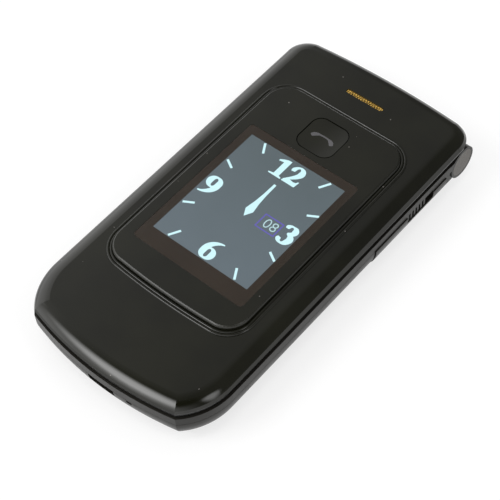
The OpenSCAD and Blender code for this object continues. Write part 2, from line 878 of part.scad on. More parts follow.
module shield_can() {
    color(steel_color) translate([0, shield_y, 0])
        plate(shield_w, shield_l, 1, tray_top + fit, board_z);
}

module usb_socket() {
    mouth = usb_w - 2 * usb_skin;
    color(steel_color) difference() {
        translate([usb_x - usb_w / 2, usb_y, usb_z]) cube([usb_w, usb_l, usb_h]);
        translate([usb_x - mouth / 2, usb_y - 1, usb_z + usb_skin])
            cube([mouth, usb_l, usb_h - 2 * usb_skin]);
    }
    color(casing_color) translate([usb_x - 1.7, usb_y + 0.8, usb_z + usb_h / 2 - 0.3])
        cube([3.4, usb_l - 1.5, 0.6]);
}

module microphone() {
    color(steel_color) translate([mic_x - 1.6, board_y0 - 3, parting_z - 1.55])
        cube([3.2, 3, 1.3]);
}

module mic_hole() {
    translate([mic_x, chin_y - 1, mic_z]) rotate([-90, 0, 0]) linear_extrude(4.5)
        rounded(mic_w, mic_h, mic_h / 2);
}

// rear casing: outside beside the hinge, a tray under the battery cover
module base_rear_shell() {
    color(casing_color) difference() {
        union() {
            rear_outside();
            rear_tray();
            battery_bay();
            knuckle_saddles();
            for (p = base_screw_xy) post(p[0], p[1], tray_z, board_z - fit, boss_r);
            slider_backing_block(slider_z - 0.9, parting_z - seam);
        }
        slider_recess();
        for (p = base_screw_xy) {
            post(p[0], p[1], board_z - fit, deck_z, boss_r + 0.1);
            post(p[0], p[1], tray_z - 1, tray_z + screw_head_h, screw_head_r + screw_gap / 2);
            post(p[0], p[1], tray_z - 1, board_z + 1, screw_r + screw_gap / 2);
        }
        camera_well();
        translate([usb_x - usb_w / 2 - fit, chin_y - 1, usb_z - fit])
            cube([usb_w + 2 * fit, 6, usb_h + 2]);
        mic_hole();
        translate([0, battery_y, 0])
            plate(sim_w + 2 * fit, sim_l + 2 * fit, 0.5, tray_z - 1, tray_z + sim_t);
        translate([-contact_w / 2 - fit, cover_y - contact_l - 1, battery_z + 0.6])
            cube([contact_w + 2 * fit, 3.6, 3]);
    }
}
sim_w = 26;
sim_l = 30;
sim_t = 0.4;
contact_w = 9;

module rear_outside() {
    intersection() {
        difference() {
            base_form(-proud, base_end_y, 0);
            intersection() {
                base_form(wall, base_end_y);
                heel(wall);
            }
        }
        heel(0);
        slab(-1, parting_z - seam, cover_y, end_y);
    }
    intersection() {
        base_form(wall - tiny, base_end_y);
        slab(0, parting_z - seam, cover_y, cover_y + wall);
        slab(0, board_z - 0.3);
    }
}

// rounds the bottom edge at the hinge end
module heel(inset) {
    translate([-hw - 2, 0, 0]) rotate([90, 0, 90]) linear_extrude(body_w + 4) {
        translate([0, inset]) square([base_end_y - heel_r, deck_z]);
        translate([0, heel_r]) square([base_end_y - inset, deck_z - heel_r]);
        translate([base_end_y - heel_r, heel_r]) circle(heel_r - inset);
    }
}

module rear_tray() {
    difference() {
        intersection() {
            base_form(tray_set, cover_y + 0.5);
            slab(tray_z, parting_z - seam);
        }
        intersection() {
            base_form(tray_set + wall, cover_y + 1);
            slab(tray_top, parting_z + 1);
        }
    }
}

// walls round the battery, under the tray
module battery_bay() {
    w = battery_w + 2 * bay_gap;
    l = battery_l + 2 * bay_gap;
    translate([0, battery_y, battery_z]) linear_extrude(tray_z - battery_z + tiny)
        difference() {
            rounded(w + 2 * bay_wall, l + 2 * bay_wall, 1.5);
            rounded(w, l, 0.5);
        }
}

// ledge below the parting line that closes the base up to the knuckles
module knuckle_saddles() {
    low = hinge_z - barrel_r + 1.5;
    inner_y = base_end_y - wall - tiny;
    difference() {
        union() {
            translate([-hw + 0.3, inner_y, low])
                cube([body_w - 0.6, deck_end_y - inner_y, parting_z - seam - low]);
            for (x0 = [-hw + 0.3, knuckle_x0]) translate([x0, inner_y, low])
                cube([hw - 0.3 - knuckle_x0, hinge_y - 2.3 - inner_y, parting_z - seam - low]);
        }
        on_hinge(-hw, hw, barrel_r + fit);
    }
}

module slider_backing_block(z0, z1) {
    depth = slider_recess_d + slider_backing;
    translate([hw - depth, slider_y0 - 1, z0])
        cube([depth - wall / 2, slider_recess_l + 2, z1 - z0]);
}

module slider_recess() {
    translate([hw - slider_recess_d, slider_y0, slider_z])
        cube([slider_recess_d + 2, slider_recess_l, slider_h + 2 * slider_gap]);
    translate([hw - 5, slider_y0 + slider_gap, slider_z + slider_h / 2 - slider_stem_h / 2])
        cube([5, slider_stem_l + slider_travel + 2 * slider_gap,
            slider_stem_h + 2 * slider_gap]);
}

module side_slider() {
    rib = slider_l / (2 * slider_ribs - 1);
    z0 = slider_z + slider_gap;
    depth = slider_recess_d - slider_gap - 0.1;
    color([0.14, 0.14, 0.14]) {
        translate([hw - slider_recess_d + slider_gap, slider_y0 + slider_gap, z0])
            cube([depth - 0.6, slider_l, slider_h]);
        for (i = [0 : slider_ribs - 1])
            translate([hw - 0.9, slider_y0 + slider_gap + 2 * i * rib, z0])
                cube([0.8, rib, slider_h]);
        translate([hw - slider_recess_d - slider_backing - 0.5,
            slider_y0 + 2 * slider_gap, slider_z + slider_h / 2 - slider_stem_h / 2 + slider_gap])
            cube([slider_backing + 1, slider_stem_l, slider_stem_h]);
    }
}

module slide_switch() {
    x1 = hw - slider_recess_d - slider_backing - 0.6;
    color(steel_color) translate([board_w / 2, slider_y0 - 0.5, board_z - 0.5])
        cube([x1 - board_w / 2, switch_l, mat_z - fit - board_z + 0.5]);
}

module base_screws() {
    color(steel_color) for (p = base_screw_xy) {
        post(p[0], p[1], tray_z, tray_z + screw_head_h, screw_head_r);
        post(p[0], p[1], tray_z, base_screw_tip_z, screw_r);
    }
}

module battery() {
    color([0.12, 0.13, 0.16]) translate([0, battery_y, 0])
        plate(battery_w, battery_l, 1, battery_z, battery_z + battery_t);
}

module battery_contacts() {
    color([0.8, 0.62, 0.25]) for (i = [-1, 0, 1])
        translate([i * 2.8 - 0.7, cover_y - contact_l + fit, battery_z + 0.8])
            cube([1.4, contact_l - fit, 2.6]);
    color(casing_color) translate([-contact_w / 2, cover_y - contact_l + 1, battery_z + 0.65])
        cube([contact_w, 1.4, 2.9]);
}

module sim_holder() {
    color(steel_color) translate([0, battery_y, 0])
        plate(sim_w, sim_l, 0.5, tray_z, tray_z + sim_t);
}

module vibration_motor() {
    color(steel_color) post(motor_x, cover_y + 7.75, board_z - motor_h, board_z, motor_r);
}

module camera_module() {
    color(casing_color) translate([-camera_w / 2, camera_y - camera_w / 2, camera_glass_z + camera_glass_t])
        cube([camera_w, camera_w, board_z - camera_glass_z - camera_glass_t]);
}
camera_y = base_end_y - 10.45;
camera_w = 8;
camera_r = 4.4;
camera_glass_z = 0.15;
camera_glass_t = 0.6;

module camera_window() {
    color([0.1, 0.1, 0.12, 0.6])
        post(0, camera_y, camera_glass_z, camera_glass_z + camera_glass_t, camera_r);
}

module camera_well() {
    glass_top = camera_glass_z + camera_glass_t;
    post(0, camera_y, -1, glass_top, camera_r + fit);
    translate([-camera_w / 2 - fit, camera_y - camera_w / 2 - fit, glass_top - tiny])
        cube([camera_w + 2 * fit, camera_w + 2 * fit, board_z]);
}

module antenna() {
    color([0.75, 0.5, 0.2])
        translate([-antenna_w / 2, base_end_y - wall - antenna_l - 1, antenna_z])
            cube([antenna_w, antenna_l, board_z - antenna_z]);
}

module battery_cover() {
    color(casing_color) difference() {
        intersection() {
            base_form();
            slab(-1, parting_z - seam, chin_y - 5, cover_y - seam);
        }
        base_form(cover_t);
        translate([usb_x - usb_w / 2 - fit, chin_y - 1, usb_z - fit])
            cube([usb_w + 2 * fit, 6, usb_h + 1]);
        mic_hole();
    }
}

module hinge_pin() {
    color(steel_color) on_hinge(lid_knuckle_x - 8, pin_end_x, pin_r);
}

module hinge_cap(side) {
    color([0.4, 0.38, 0.36]) on_hinge(side > 0 ? hw - cap_t : -hw, side > 0 ? hw : -hw + cap_t,
        cap_r);
}

lid_outer_shell();
panel_bezel();
outer_window();
outer_display();
outer_call_key();
speaker_mesh();
loudspeaker();
lid_board();
earpiece();
earpiece_mesh();
inner_display();
inner_window();
lid_inner_shell();
lid_screws();
lid_bumpers();
lid_magnet();
hinge_cartridge();
hinge_flex();
base_front_shell();
hinge_pin();
hinge_cap(-1);  // hinge_cap_left
hinge_cap(1);  // hinge_cap_right
keypad_mat();
dome_sheet();
main_board();
shield_can();
usb_socket();
microphone();
base_rear_shell();
base_screws();
battery();
battery_contacts();
sim_holder();
vibration_motor();
camera_module();
camera_window();
antenna();
slide_switch();
side_slider();
battery_cover();
nav_rocker();
ok_key();
side_key(0, [0.12, 0.12, 0.12]);  // soft_key_left
side_key(1, [0.12, 0.12, 0.12]);  // soft_key_right
side_key(2, [0.1, 0.35, 0.15]);  // call_key
side_key(3, [0.45, 0.08, 0.08]);  // end_key
number_key(0);  // key_1
number_key(1);  // key_2
number_key(2);  // key_3
number_key(3);  // key_4
number_key(4);  // key_5
number_key(5);  // key_6
number_key(6);  // key_7
number_key(7);  // key_8
number_key(8);  // key_9
number_key(9);  // key_star
number_key(10);  // key_0
number_key(11);  // key_hash
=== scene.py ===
import math
from collections import namedtuple

import bpy
from bpy.props import FloatProperty, FloatVectorProperty, PointerProperty
from mathutils import Matrix, Vector


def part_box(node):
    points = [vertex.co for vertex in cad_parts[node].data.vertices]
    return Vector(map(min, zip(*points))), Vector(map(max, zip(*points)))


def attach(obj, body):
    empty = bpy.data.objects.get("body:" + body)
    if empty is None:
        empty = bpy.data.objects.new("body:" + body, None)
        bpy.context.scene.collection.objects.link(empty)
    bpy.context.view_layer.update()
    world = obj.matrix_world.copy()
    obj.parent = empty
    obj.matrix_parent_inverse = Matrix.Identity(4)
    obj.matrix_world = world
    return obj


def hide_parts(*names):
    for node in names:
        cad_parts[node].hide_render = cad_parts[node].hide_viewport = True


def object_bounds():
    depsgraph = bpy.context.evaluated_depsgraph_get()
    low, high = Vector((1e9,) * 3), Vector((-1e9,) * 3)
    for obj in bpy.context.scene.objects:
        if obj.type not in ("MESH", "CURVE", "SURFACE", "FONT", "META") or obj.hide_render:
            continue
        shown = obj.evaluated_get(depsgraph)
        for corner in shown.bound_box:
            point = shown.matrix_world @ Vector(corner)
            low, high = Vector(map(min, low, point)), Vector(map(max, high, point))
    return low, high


bl_info = {
    "name": "Clamshell Phone Dressing",
    "version": (1, 0, 0),
    "blender": (4, 5, 0),
    "location": "View3D > Sidebar > Phone",
    "description": "Finishes, clock face, key legends and studio for a clamshell phone",
    "category": "Object",
}

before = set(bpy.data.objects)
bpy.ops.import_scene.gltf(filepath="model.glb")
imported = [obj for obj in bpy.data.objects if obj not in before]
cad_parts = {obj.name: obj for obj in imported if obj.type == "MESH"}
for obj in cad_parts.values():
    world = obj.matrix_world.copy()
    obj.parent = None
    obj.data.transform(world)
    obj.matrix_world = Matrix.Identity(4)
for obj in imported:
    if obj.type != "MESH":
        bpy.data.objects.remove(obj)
CAD_BOX = [list(corner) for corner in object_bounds()]
MM = 0.001


# Reading of the photograph and of the part's source
CAMERA_LENS = 100.08
CAMERA_SENSOR = 36.0
CAMERA_PLACE = (136.013 * MM, -141.659 * MM, 269.260 * MM)
CAMERA_RIGHT = Vector((0.76150451, 0.6463463, -0.04844944))
CAMERA_BACK = Vector((0.41044342, -0.42302704, 0.80783215))
PANEL_CORNER = 6.0 * MM       # corner radius of the raised panel
PANEL_BOW = 190.0 * MM        # radius of its bowed chin end
PANEL_STEPS = 12              # faces in each arc of its outline
BEAD_SET = 0.41 * MM          # from the panel's side to the middle of the inner bead
BEAD_PITCH = 0.72 * MM        # from the inner bead to the outer one
LID_CHIN_Y = CAD_BOX[0][1]
LID_CHIN_Z = 15.15 * MM       # top of the lid's shell at the chin
LID_SLOPE = 0.8 / 105.9       # its rise towards the hinge
CAP_GAP = 0.14 * MM           # round each hinge cap
GAP_SHADE_DEPTH = 0.06 * MM        # of the ring of painted shade in that gap, below the cap's face
GAP_SHADE_STEPS = 64
MESH_PITCH = 0.62 * MM        # of the wires in the speaker mesh
KEY_HOLLOW_RADIUS = 60.0 * MM  # of the hollow in the outer key's top

# Places of the printed and lit layers
SCREEN_Y = -0.5 * MM          # middle of the clock's lit area
CLOCK_Y = -0.45               # middle of the clock's drawing, in millimetres
WINDOW_CORNER = 1.0 * MM
PANE_TOP = 0.01 * MM          # depths under the outer window's top face
PANE_UNDER = 0.07 * MM
MASK_TOP = 0.10 * MM
LIT_TOP = 0.16 * MM
LIT_THICKNESS = 0.5 * MM
INNER_CORNER = 2.5 * MM
INNER_PANE = 0.3 * MM         # thickness of the inner screen's pane
INNER_PRINT = 0.32 * MM       # from its face to the print behind it
INNER_MARGIN = 1.6 * MM       # of the display that the print hides
PRINT_INSET = 0.02 * MM       # of both prints, from the edge of their windows
LEGEND_PROUD = 0.02 * MM      # how far the marks stand out of the keys
LEGEND_SUNK = 0.07 * MM       # how deep the digits begin in their keys' crowned tops
HANDSET_SUNK = 0.06 * MM      # the same of the handset marks
HANDSET_WIDTH = 4.6 * MM      # of the marks on the call and end keys
HANDSET_THICKNESS = 0.08 * MM
DASH_SIZE = (3.6 * MM, 0.6 * MM)  # of the marks on the soft keys
DASH_CORNER = 0.28 * MM
DASH_SUNK = 0.03 * MM
DATE_BOX = (5.5 * MM, 4.3 * MM)
DATE_INSIDE = (4.9 * MM, 3.7 * MM)
DATE_HEIGHT = 2.6 * MM
TICK_WIDTH = 0.58 * MM
TICK_MARGIN = 0.15            # of the clock's ticks, from the lit edge, in millimetres
TICK_REACH = 20.3             # the furthest that a tick lies from the middle
TICK_SHIFT = Vector((0.2, 0.0))

# Back camera
RING_RADIUS = 2.25 * MM
RING_WIRE = 0.16 * MM
RING_Z = 0.35 * MM            # above the pane's outer face
LENS_RADII = (1.7 * MM, 1.7 * MM, 0.4 * MM)

FLOOR_SIZE = 4.0
FLOOR_Z = -0.02 * MM
FLOOR_WHITE = 0.36            # colour of the floor, and its glow to the camera and in mirrors
FLOOR_GLOW = 0.68
DUST_COLOUR = (0.14, 0.13, 0.12, 1)
EDGE_UPRIGHT = (0.97, 0.88)   # how upright a face stands where an edge begins and is full

Footprint = namedtuple("Footprint", "low high middle size")


# ---------------------------------------------------------------- sizes and colours

def colour_property(name, default, description):
    return FloatVectorProperty(
        name=name, description=description, subtype="COLOR", size=3,
        min=0.0, max=1.0, default=default)


def length_property(name, default, description):
    return FloatProperty(
        name=name, description=description, default=default, min=0.0,
        subtype="DISTANCE", unit="LENGTH", precision=5)


class PhoneColours(bpy.types.PropertyGroup):
    """Colours of the casings, the screen and the legends"""
    lid_black: colour_property(
        "Lid black", (0.0079, 0.0080, 0.0044), "Gloss black of the lid and its raised panel")
    casing_grey: colour_property(
        "Casing grey", (0.0148, 0.0138, 0.0112), "Satin plastic of the base")
    frame_black: colour_property(
        "Frame black", (0.0085, 0.0082, 0.0076), "Recessed inner frame of the lid")
    cap_grey: colour_property(
        "Hinge cap grey", (0.0520, 0.0420, 0.0290), "Discs on the ends of the hinge")
    mask_brown: colour_property(
        "Window print", (0.0450, 0.0320, 0.0225), "Printed frame round the clock")
    screen_high: colour_property(
        "Screen top", (0.1120, 0.1480, 0.1640), "Lit screen at its upper end")
    screen_low: colour_property(
        "Screen bottom", (0.1420, 0.1850, 0.2140), "Lit screen at its lower end")
    digit_ice: colour_property(
        "Clock digits", (0.5600, 0.8300, 0.8800), "Pale digits, ticks and hands")
    date_violet: colour_property(
        "Date box", (0.1150, 0.1000, 0.4300), "Outline round the date")
    mesh_gold: colour_property(
        "Speaker mesh gold", (0.8600, 0.5300, 0.1000), "Woven mesh in the speaker slot")
    icon_grey: colour_property(
        "Key icon", (0.1000, 0.0980, 0.1030), "Handset mark on the outer key")
    legend_white: colour_property(
        "Key legends", (0.6800, 0.7000, 0.7200), "Digits on the keypad")


class PhoneSizes(bpy.types.PropertyGroup):
    """Sizes of the printed and lit details"""
    screen_width: length_property("Screen width", 28.2 * MM, "Lit width of the clock screen")
    screen_length: length_property("Screen length", 35.1 * MM, "Lit length of the clock screen")
    print_depth: length_property("Print depth", 0.03 * MM, "Step between lit layers")
    icon_width: length_property("Icon width", 6.4 * MM, "Width of the handset mark")
    key_dish: length_property("Key hollow", 0.30 * MM, "Depth of the outer key's hollow")
    legend_height: length_property("Legend height", 4.2 * MM, "Height of a key digit")
    bead_radius: length_property(
        "Bead radius", 0.385 * MM, "Roundness of the beads round the panel")
    # Painted shade: half the width of the dark ring that stands for the shadow in the gap round
    # a hinge cap
    gap_shade_radius: length_property(
        "Seam", 0.10 * MM, "Half the width of the seam round a hinge cap")


class PhoneStudio(bpy.types.PropertyGroup):
    """Lights and floor"""
    chin_watts: FloatProperty(
        name="Chin light", description="Softbox beyond the chin", default=2.2, min=0.0)
    top_watts: FloatProperty(
        name="Top light", description="Softbox over the phone", default=1.0, min=0.0)
    right_watts: FloatProperty(
        name="Right light", description="Softbox at the right side", default=0.9, min=0.0)
    sky: FloatProperty(
        name="Sky", description="Strength of the even light all round", default=0.62, min=0.0)
    room: FloatProperty(
        name="Room", description="Brightness of the plain room in mirror images", default=0.15,
        min=0.0)


# What polished parts mirror: middle of each soft light as a direction, its spread along
# X, Y and Z, and its brightness
CHIN_LIGHT = (Vector((-0.33, -0.57, 0.74)), Vector((0.36, 0.38, 0.36)), 6.0)
RIGHT_LIGHT = (Vector((0.66, 0.02, 0.75)), Vector((0.26, 0.20, 0.30)), 3.0)
CEILING = (Vector((-0.40, 0.45, 0.80)), Vector((0.55, 0.65, 0.60)), 0.20)
FADE = (0.3, 1.1)             # where a soft light begins and ends to fade, in spreads
# Walls: axis, where along it the wall begins and is full, and its brightness
WALLS = (("X", -0.35, -0.90, 1.5), ("Y", -0.20, -0.80, 1.3), ("X", 0.75, 1.00, 1.0))
# Dark stand of the camera, as the lights above
CAMERA_STAND = (Vector((0.30, -0.28, 0.91)), Vector((0.36, 0.36, 0.36)), -0.95)
# Lamps: name, the setting with its watts, its size and its place
LAMPS = (
    ("chin_softbox", "chin_watts", 0.34, CHIN_LIGHT[0] * 0.9),
    ("top_softbox", "top_watts", 0.22, Vector((0.11, -0.17, 0.88))),
    ("right_softbox", "right_watts", 0.26, RIGHT_LIGHT[0] * 0.9))


def colours():
    return bpy.context.scene.phone_colours


def sizes():
    return bpy.context.scene.phone_sizes


def studio():
    return bpy.context.scene.phone_studio


# ---------------------------------------------------------------- modelling helpers

def deselect():
    if bpy.context.object and bpy.context.object.mode != "OBJECT":
        bpy.ops.object.mode_set(mode="OBJECT")
    bpy.ops.object.select_all(action="DESELECT")


def only(obj):
    """Selects one object and makes it active"""
    deselect()
    obj.select_set(True)
    bpy.context.view_layer.objects.active = obj


def settle(obj, name):
    """Puts the object's place into its mesh and names it"""
    only(obj)
    bpy.ops.object.transform_apply(location=True, rotation=True, scale=True)
    obj.name = name
    obj.data.name = name
    return obj


def edit(obj):
    """Opens one object's mesh with all of it selected"""
    only(obj)
    bpy.ops.object.mode_set(mode="EDIT")
    bpy.ops.mesh.select_mode(type="VERT")
    bpy.ops.mesh.select_all(action="SELECT")


def outwards(obj):
    """Turns all faces outwards"""
    edit(obj)
    bpy.ops.mesh.normals_make_consistent(inside=False)
    bpy.ops.object.mode_set(mode="OBJECT")
    return obj


def merged(obj):
    """Merges doubled vertices"""
    edit(obj)
    bpy.ops.mesh.remove_doubles(threshold=1e-7)
    bpy.ops.object.mode_set(mode="OBJECT")
    return obj


def raised(obj, height):
    """Gives a flat mesh its thickness"""
    edit(obj)
    bpy.ops.mesh.extrude_region_move(TRANSFORM_OT_translate={"value": (0, 0, height)})
    return outwards(obj)


def plate(name, size, radius, middle, low, high):
    """Flat plate with rounded corners. size is (width, length), middle its place"""
    deselect()
    bpy.ops.mesh.primitive_plane_add(size=1, location=(middle[0], middle[1], low))
    obj = bpy.context.object
    obj.scale = (size[0], size[1], 1)
    settle(obj, name)
    if radius > 0:
        edit(obj)
        bpy.ops.mesh.bevel(offset=radius, segments=8, affect="VERTICES")
    return raised(obj, high - low)


def outline_plate(name, points, low, high):
    """Flat plate from an outline, grown out of a circle with as many corners"""
    deselect()
    bpy.ops.mesh.primitive_circle_add(
        vertices=len(points), radius=MM, fill_type="NGON", location=(0, 0, low))
    obj = settle(bpy.context.object, name)
    for vertex, point in zip(obj.data.vertices, points):
        vertex.co = (point[0], point[1], low)
    return raised(obj, high - low)


def bar(name, start, end, width, low, high):
    """Straight flat bar between two points"""
    a = Vector(start)
    b = Vector(end)
    side = (b - a).normalized().orthogonal() * width / 2
    return outline_plate(name, [a + side, b + side, b - side, a - side], low, high)


def stroke(name, spine, low, high):
    """Flat stroke whose width changes along a spine of (x, y, width)"""
    left = []
    right = []
    for i, point in enumerate(spine):
        before = spine[max(i - 1, 0)]
        after = spine[min(i + 1, len(spine) - 1)]
        run = Vector((after[0] - before[0], after[1] - before[1])).normalized()
        side = Vector((-run.y, run.x)) * point[2] / 2
        left.append((point[0] + side.x, point[1] + side.y, low))
        right.append((point[0] - side.x, point[1] - side.y, low))
    deselect()
    bpy.ops.mesh.primitive_grid_add(
        x_subdivisions=len(spine) - 1, y_subdivisions=1, size=MM, location=(0, 0, low))
    obj = settle(bpy.context.object, name)
    for vertex, place in zip(obj.data.vertices, right + left):
        vertex.co = place
    return raised(obj, high - low)


def arc(cx, cy, rx, ry, start, end, steps, thin, thick, swell=90.0):
    """Points of a stroke along an ellipse, thickest where the pen angle is swell"""
    points = []
    for i in range(steps + 1):
        angle = math.radians(start + (end - start) * i / steps)
        weight = abs(math.cos(angle - math.radians(swell - 90.0)))
        points.append((
            cx + rx * math.cos(angle), cy + ry * math.sin(angle),
            thin + (thick - thin) * weight ** 1.5))
    return points


def smooth(points, steps=5):
    """Rounds off a row of (x, y, width) points"""
    rounded = []
    for i in range(len(points) - 1):
        p0 = Vector(points[max(i - 1, 0)])
        p1 = Vector(points[i])
        p2 = Vector(points[i + 1])
        p3 = Vector(points[min(i + 2, len(points) - 1)])
        for k in range(steps):
            t = k / steps
            rounded.append(tuple(
                0.5 * (2 * p1 + (p2 - p0) * t + (2 * p0 - 5 * p1 + 4 * p2 - p3) * t ** 2
                       + (3 * p1 - p0 - 3 * p2 + p3) * t ** 3)))
    rounded.append(tuple(points[-1]))
    return rounded


def tube(name, points, radius):
    """Closed round bead along a row of places"""
    deselect()
    bpy.ops.mesh.primitive_circle_add(vertices=len(points), radius=MM, location=(0, 0, 0))
    for vertex, point in zip(bpy.context.object.data.vertices, points):
        vertex.co = point
    bpy.ops.object.convert(target="CURVE")
    line = bpy.context.object.data
    line.bevel_depth = radius
    line.bevel_resolution = 4
    bpy.ops.object.convert(target="MESH")
    obj = outwards(merged(bpy.context.object))
    bpy.ops.object.shade_smooth()
    return settle(obj, name)


def joined(name, pieces):
    deselect()
    for piece in pieces:
        piece.select_set(True)
    bpy.context.view_layer.objects.active = pieces[0]
    bpy.ops.object.join()
    return settle(bpy.context.object, name)


def lettering(name, text, height, place, low, high, bold):
    """Digits from the built-in typeface, as a flat raised mesh centred on a place"""
    deselect()
    bpy.ops.object.text_add(location=(0, 0, 0))
    letters = bpy.context.object.data
    letters.body = text
    letters.align_x = "CENTER"
    letters.size = 1.0
    letters.offset = bold
    letters.resolution_u = 6
    bpy.ops.object.convert(target="MESH")
    obj = bpy.context.object
    spans = [[v.co[i] for v in obj.data.vertices] for i in range(2)]
    middle = [(min(span) + max(span)) / 2 for span in spans]
    size = height / (max(spans[1]) - min(spans[1]))
    obj.data.transform(Matrix.Translation((place[0], place[1], low)) @ Matrix.Scale(size, 4)
                       @ Matrix.Translation((-middle[0], -middle[1], 0)))
    return settle(raised(merged(obj), high - low), name)


def cut(obj, cutter):
    """Takes one solid out of another and removes it"""
    only(obj)
    change = obj.modifiers.new("cut", "BOOLEAN")
    change.operation = "DIFFERENCE"
    change.solver = "EXACT"
    change.object = cutter
    bpy.ops.object.modifier_apply(modifier=change.name)
    bpy.data.objects.remove(cutter, do_unlink=True)
    return obj


def dress(obj, material, body):
    """Gives a piece its material and the body that carries it"""
    obj.data.materials.clear()
    obj.data.materials.append(material)
    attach(obj, body)
    return obj


def footprint(node):
    """Corners, middle and (width, length) of a CAD node's box"""
    low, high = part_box(node)
    return Footprint(low, high, (low + high) / 2, (high.x - low.x, high.y - low.y))


def shrunk(size, margin):
    """(width, length) made smaller by a margin"""
    return [side - margin for side in size]


# ---------------------------------------------------------------- shader nodes and groups

def feed(tree, node, inputs):
    """Sets a node's inputs, each from a plain value or from another node's output"""
    for key, value in inputs.items():
        if isinstance(value, bpy.types.NodeSocket):
            tree.links.new(value, node.inputs[key])
        else:
            node.inputs[key].default_value = value


def add(tree, kind, inputs=None, **settings):
    """New shader node. Its settings come first, since some of them choose its inputs"""
    node = tree.nodes.new(kind)
    for key, value in settings.items():
        setattr(node, key, value)
    feed(tree, node, inputs or {})
    return node


def maths(tree, operation, first, second, clamp=False):
    node = add(tree, "ShaderNodeMath", {0: first, 1: second}, operation=operation,
               use_clamp=clamp)
    return node.outputs["Value"]


def ranged(tree, value, from_min, from_max, to_min=0.0, to_max=1.0, kind="LINEAR"):
    """Value moved from one range to another and held within it"""
    node = add(tree, "ShaderNodeMapRange", {
        "Value": value, "From Min": from_min, "From Max": from_max, "To Min": to_min,
        "To Max": to_max}, interpolation_type=kind)
    return node.outputs["Result"]


def blend(tree, share, first, second):
    """Mix of two colours"""
    return add(tree, "ShaderNodeMix", {0: share, 6: first, 7: second},
               data_type="RGBA").outputs[2]


def axes(tree, vector):
    return add(tree, "ShaderNodeSeparateXYZ", {"Vector": vector}).outputs


def new_group(name, inputs, outputs):
    """Shader group. An input without a value is a vector, one with a tuple a colour"""
    group = bpy.data.node_groups.new(name, "ShaderNodeTree")
    for label, value in inputs.items():
        kind = "Float"
        if value is None:
            kind = "Vector"
        elif isinstance(value, tuple):
            kind = "Color"
        socket = group.interface.new_socket(
            name=label, in_out="INPUT", socket_type="NodeSocket" + kind)
        if value is not None:
            socket.default_value = value
    for label in outputs:
        group.interface.new_socket(
            name=label, in_out="OUTPUT",
            socket_type="NodeSocketColor" if label == "Colour" else "NodeSocketFloat")
    given = group.nodes.new("NodeGroupInput").outputs
    return group, given, group.nodes.new("NodeGroupOutput")


def moulded_group():
    """Uneven tone, fine grain and smudged gloss of moulded plastic or paint"""
    group, given, result = new_group("moulded_surface", {
        "Vector": None, "Colour": (0.1, 0.1, 0.1, 1), "Second Colour": (0.1, 0.1, 0.1, 1),
        "Tone Scale": 60.0, "Grain Scale": 4000.0, "Rough Low": 0.1, "Rough High": 0.2,
        "Smudge Scale": 90.0}, ("Colour", "Roughness", "Height"))

    def noise(scale, detail, distortion=0.0):
        return add(group, "ShaderNodeTexNoise", {
            "Vector": given["Vector"], "Scale": given[scale], "Detail": detail,
            "Distortion": distortion}).outputs["Fac"]

    tone = ranged(group, noise("Tone Scale", 4.0), 0.35, 0.65)
    smudge = noise("Smudge Scale", 5.0, 0.6)
    feed(group, result, {
        "Colour": blend(group, tone, given["Colour"], given["Second Colour"]),
        "Roughness": ranged(group, smudge, 0.35, 0.7, given["Rough Low"], given["Rough High"]),
        "Height": noise("Grain Scale", 2.0)})
    return group


def dust_group():
    """Scattered pale specks, as a mask"""
    group, given, result = new_group("dust_specks", {
        "Vector": None, "Scale": 260.0, "Speck Size": 0.045, "Share": 0.05}, ("Mask",))
    cells = add(group, "ShaderNodeTexVoronoi", {
        "Vector": given["Vector"], "Scale": given["Scale"]}).outputs
    near = maths(group, "LESS_THAN", cells["Distance"], given["Speck Size"])
    split = add(group, "ShaderNodeSeparateColor", {"Color": cells["Color"]})
    chosen = maths(group, "LESS_THAN", split.outputs["Red"], given["Share"])
    feed(group, result, {"Mask": maths(group, "MULTIPLY", near, chosen)})
    return group


def brushed_group():
    """Fine lines along one direction on bare metal"""
    group, given, result = new_group("brushed_lines", {
        "Vector": None, "Scale": 900.0, "Rough Low": 0.2, "Rough High": 0.4},
        ("Roughness", "Height"))
    stretch = add(group, "ShaderNodeMapping", {
        "Vector": given["Vector"], "Scale": (0.06, 1.0, 1.0)})
    lines = add(group, "ShaderNodeTexNoise", {
        "Vector": stretch.outputs["Vector"], "Scale": given["Scale"],
        "Detail": 3.0}).outputs["Fac"]
    feed(group, result, {
        "Roughness": ranged(group, lines, 0.0, 1.0, given["Rough Low"], given["Rough High"]),
        "Height": lines})
    return group


def soft_patch(group, direction, patch):
    """Patch of a mirrored room that fades out round its middle"""
    middle, spread, level = patch
    offset = add(group, "ShaderNodeVectorMath", {0: direction, 1: middle},
                 operation="SUBTRACT")
    scaled = add(group, "ShaderNodeVectorMath", {0: offset.outputs["Vector"], 1: spread},
                 operation="DIVIDE")
    away = add(group, "ShaderNodeVectorMath", {0: scaled.outputs["Vector"]},
               operation="LENGTH")
    return ranged(group, away.outputs["Value"], *FADE, level, 0.0, "SMOOTHSTEP")


def room_group():
    """Level of the room in mirror images: soft lights, pale walls, a dark camera stand"""
    group, given, result = new_group(
        "studio_room", {"Direction": None, "Room": 0.15}, ("Level",))
    direction = given["Direction"]
    total = given["Room"]
    for patch in (CHIN_LIGHT, RIGHT_LIGHT, CEILING):
        total = maths(group, "ADD", total, soft_patch(group, direction, patch))
    along = axes(group, direction)
    for axis, begins, full, level in WALLS:
        wall = ranged(group, along[axis], begins, full, 0.0, level, "SMOOTHSTEP")
        total = maths(group, "ADD", total, wall)
    shade = maths(group, "ADD", 1.0, soft_patch(group, direction, CAMERA_STAND))
    feed(group, result, {"Level": maths(group, "MULTIPLY", total, shade)})
    return group


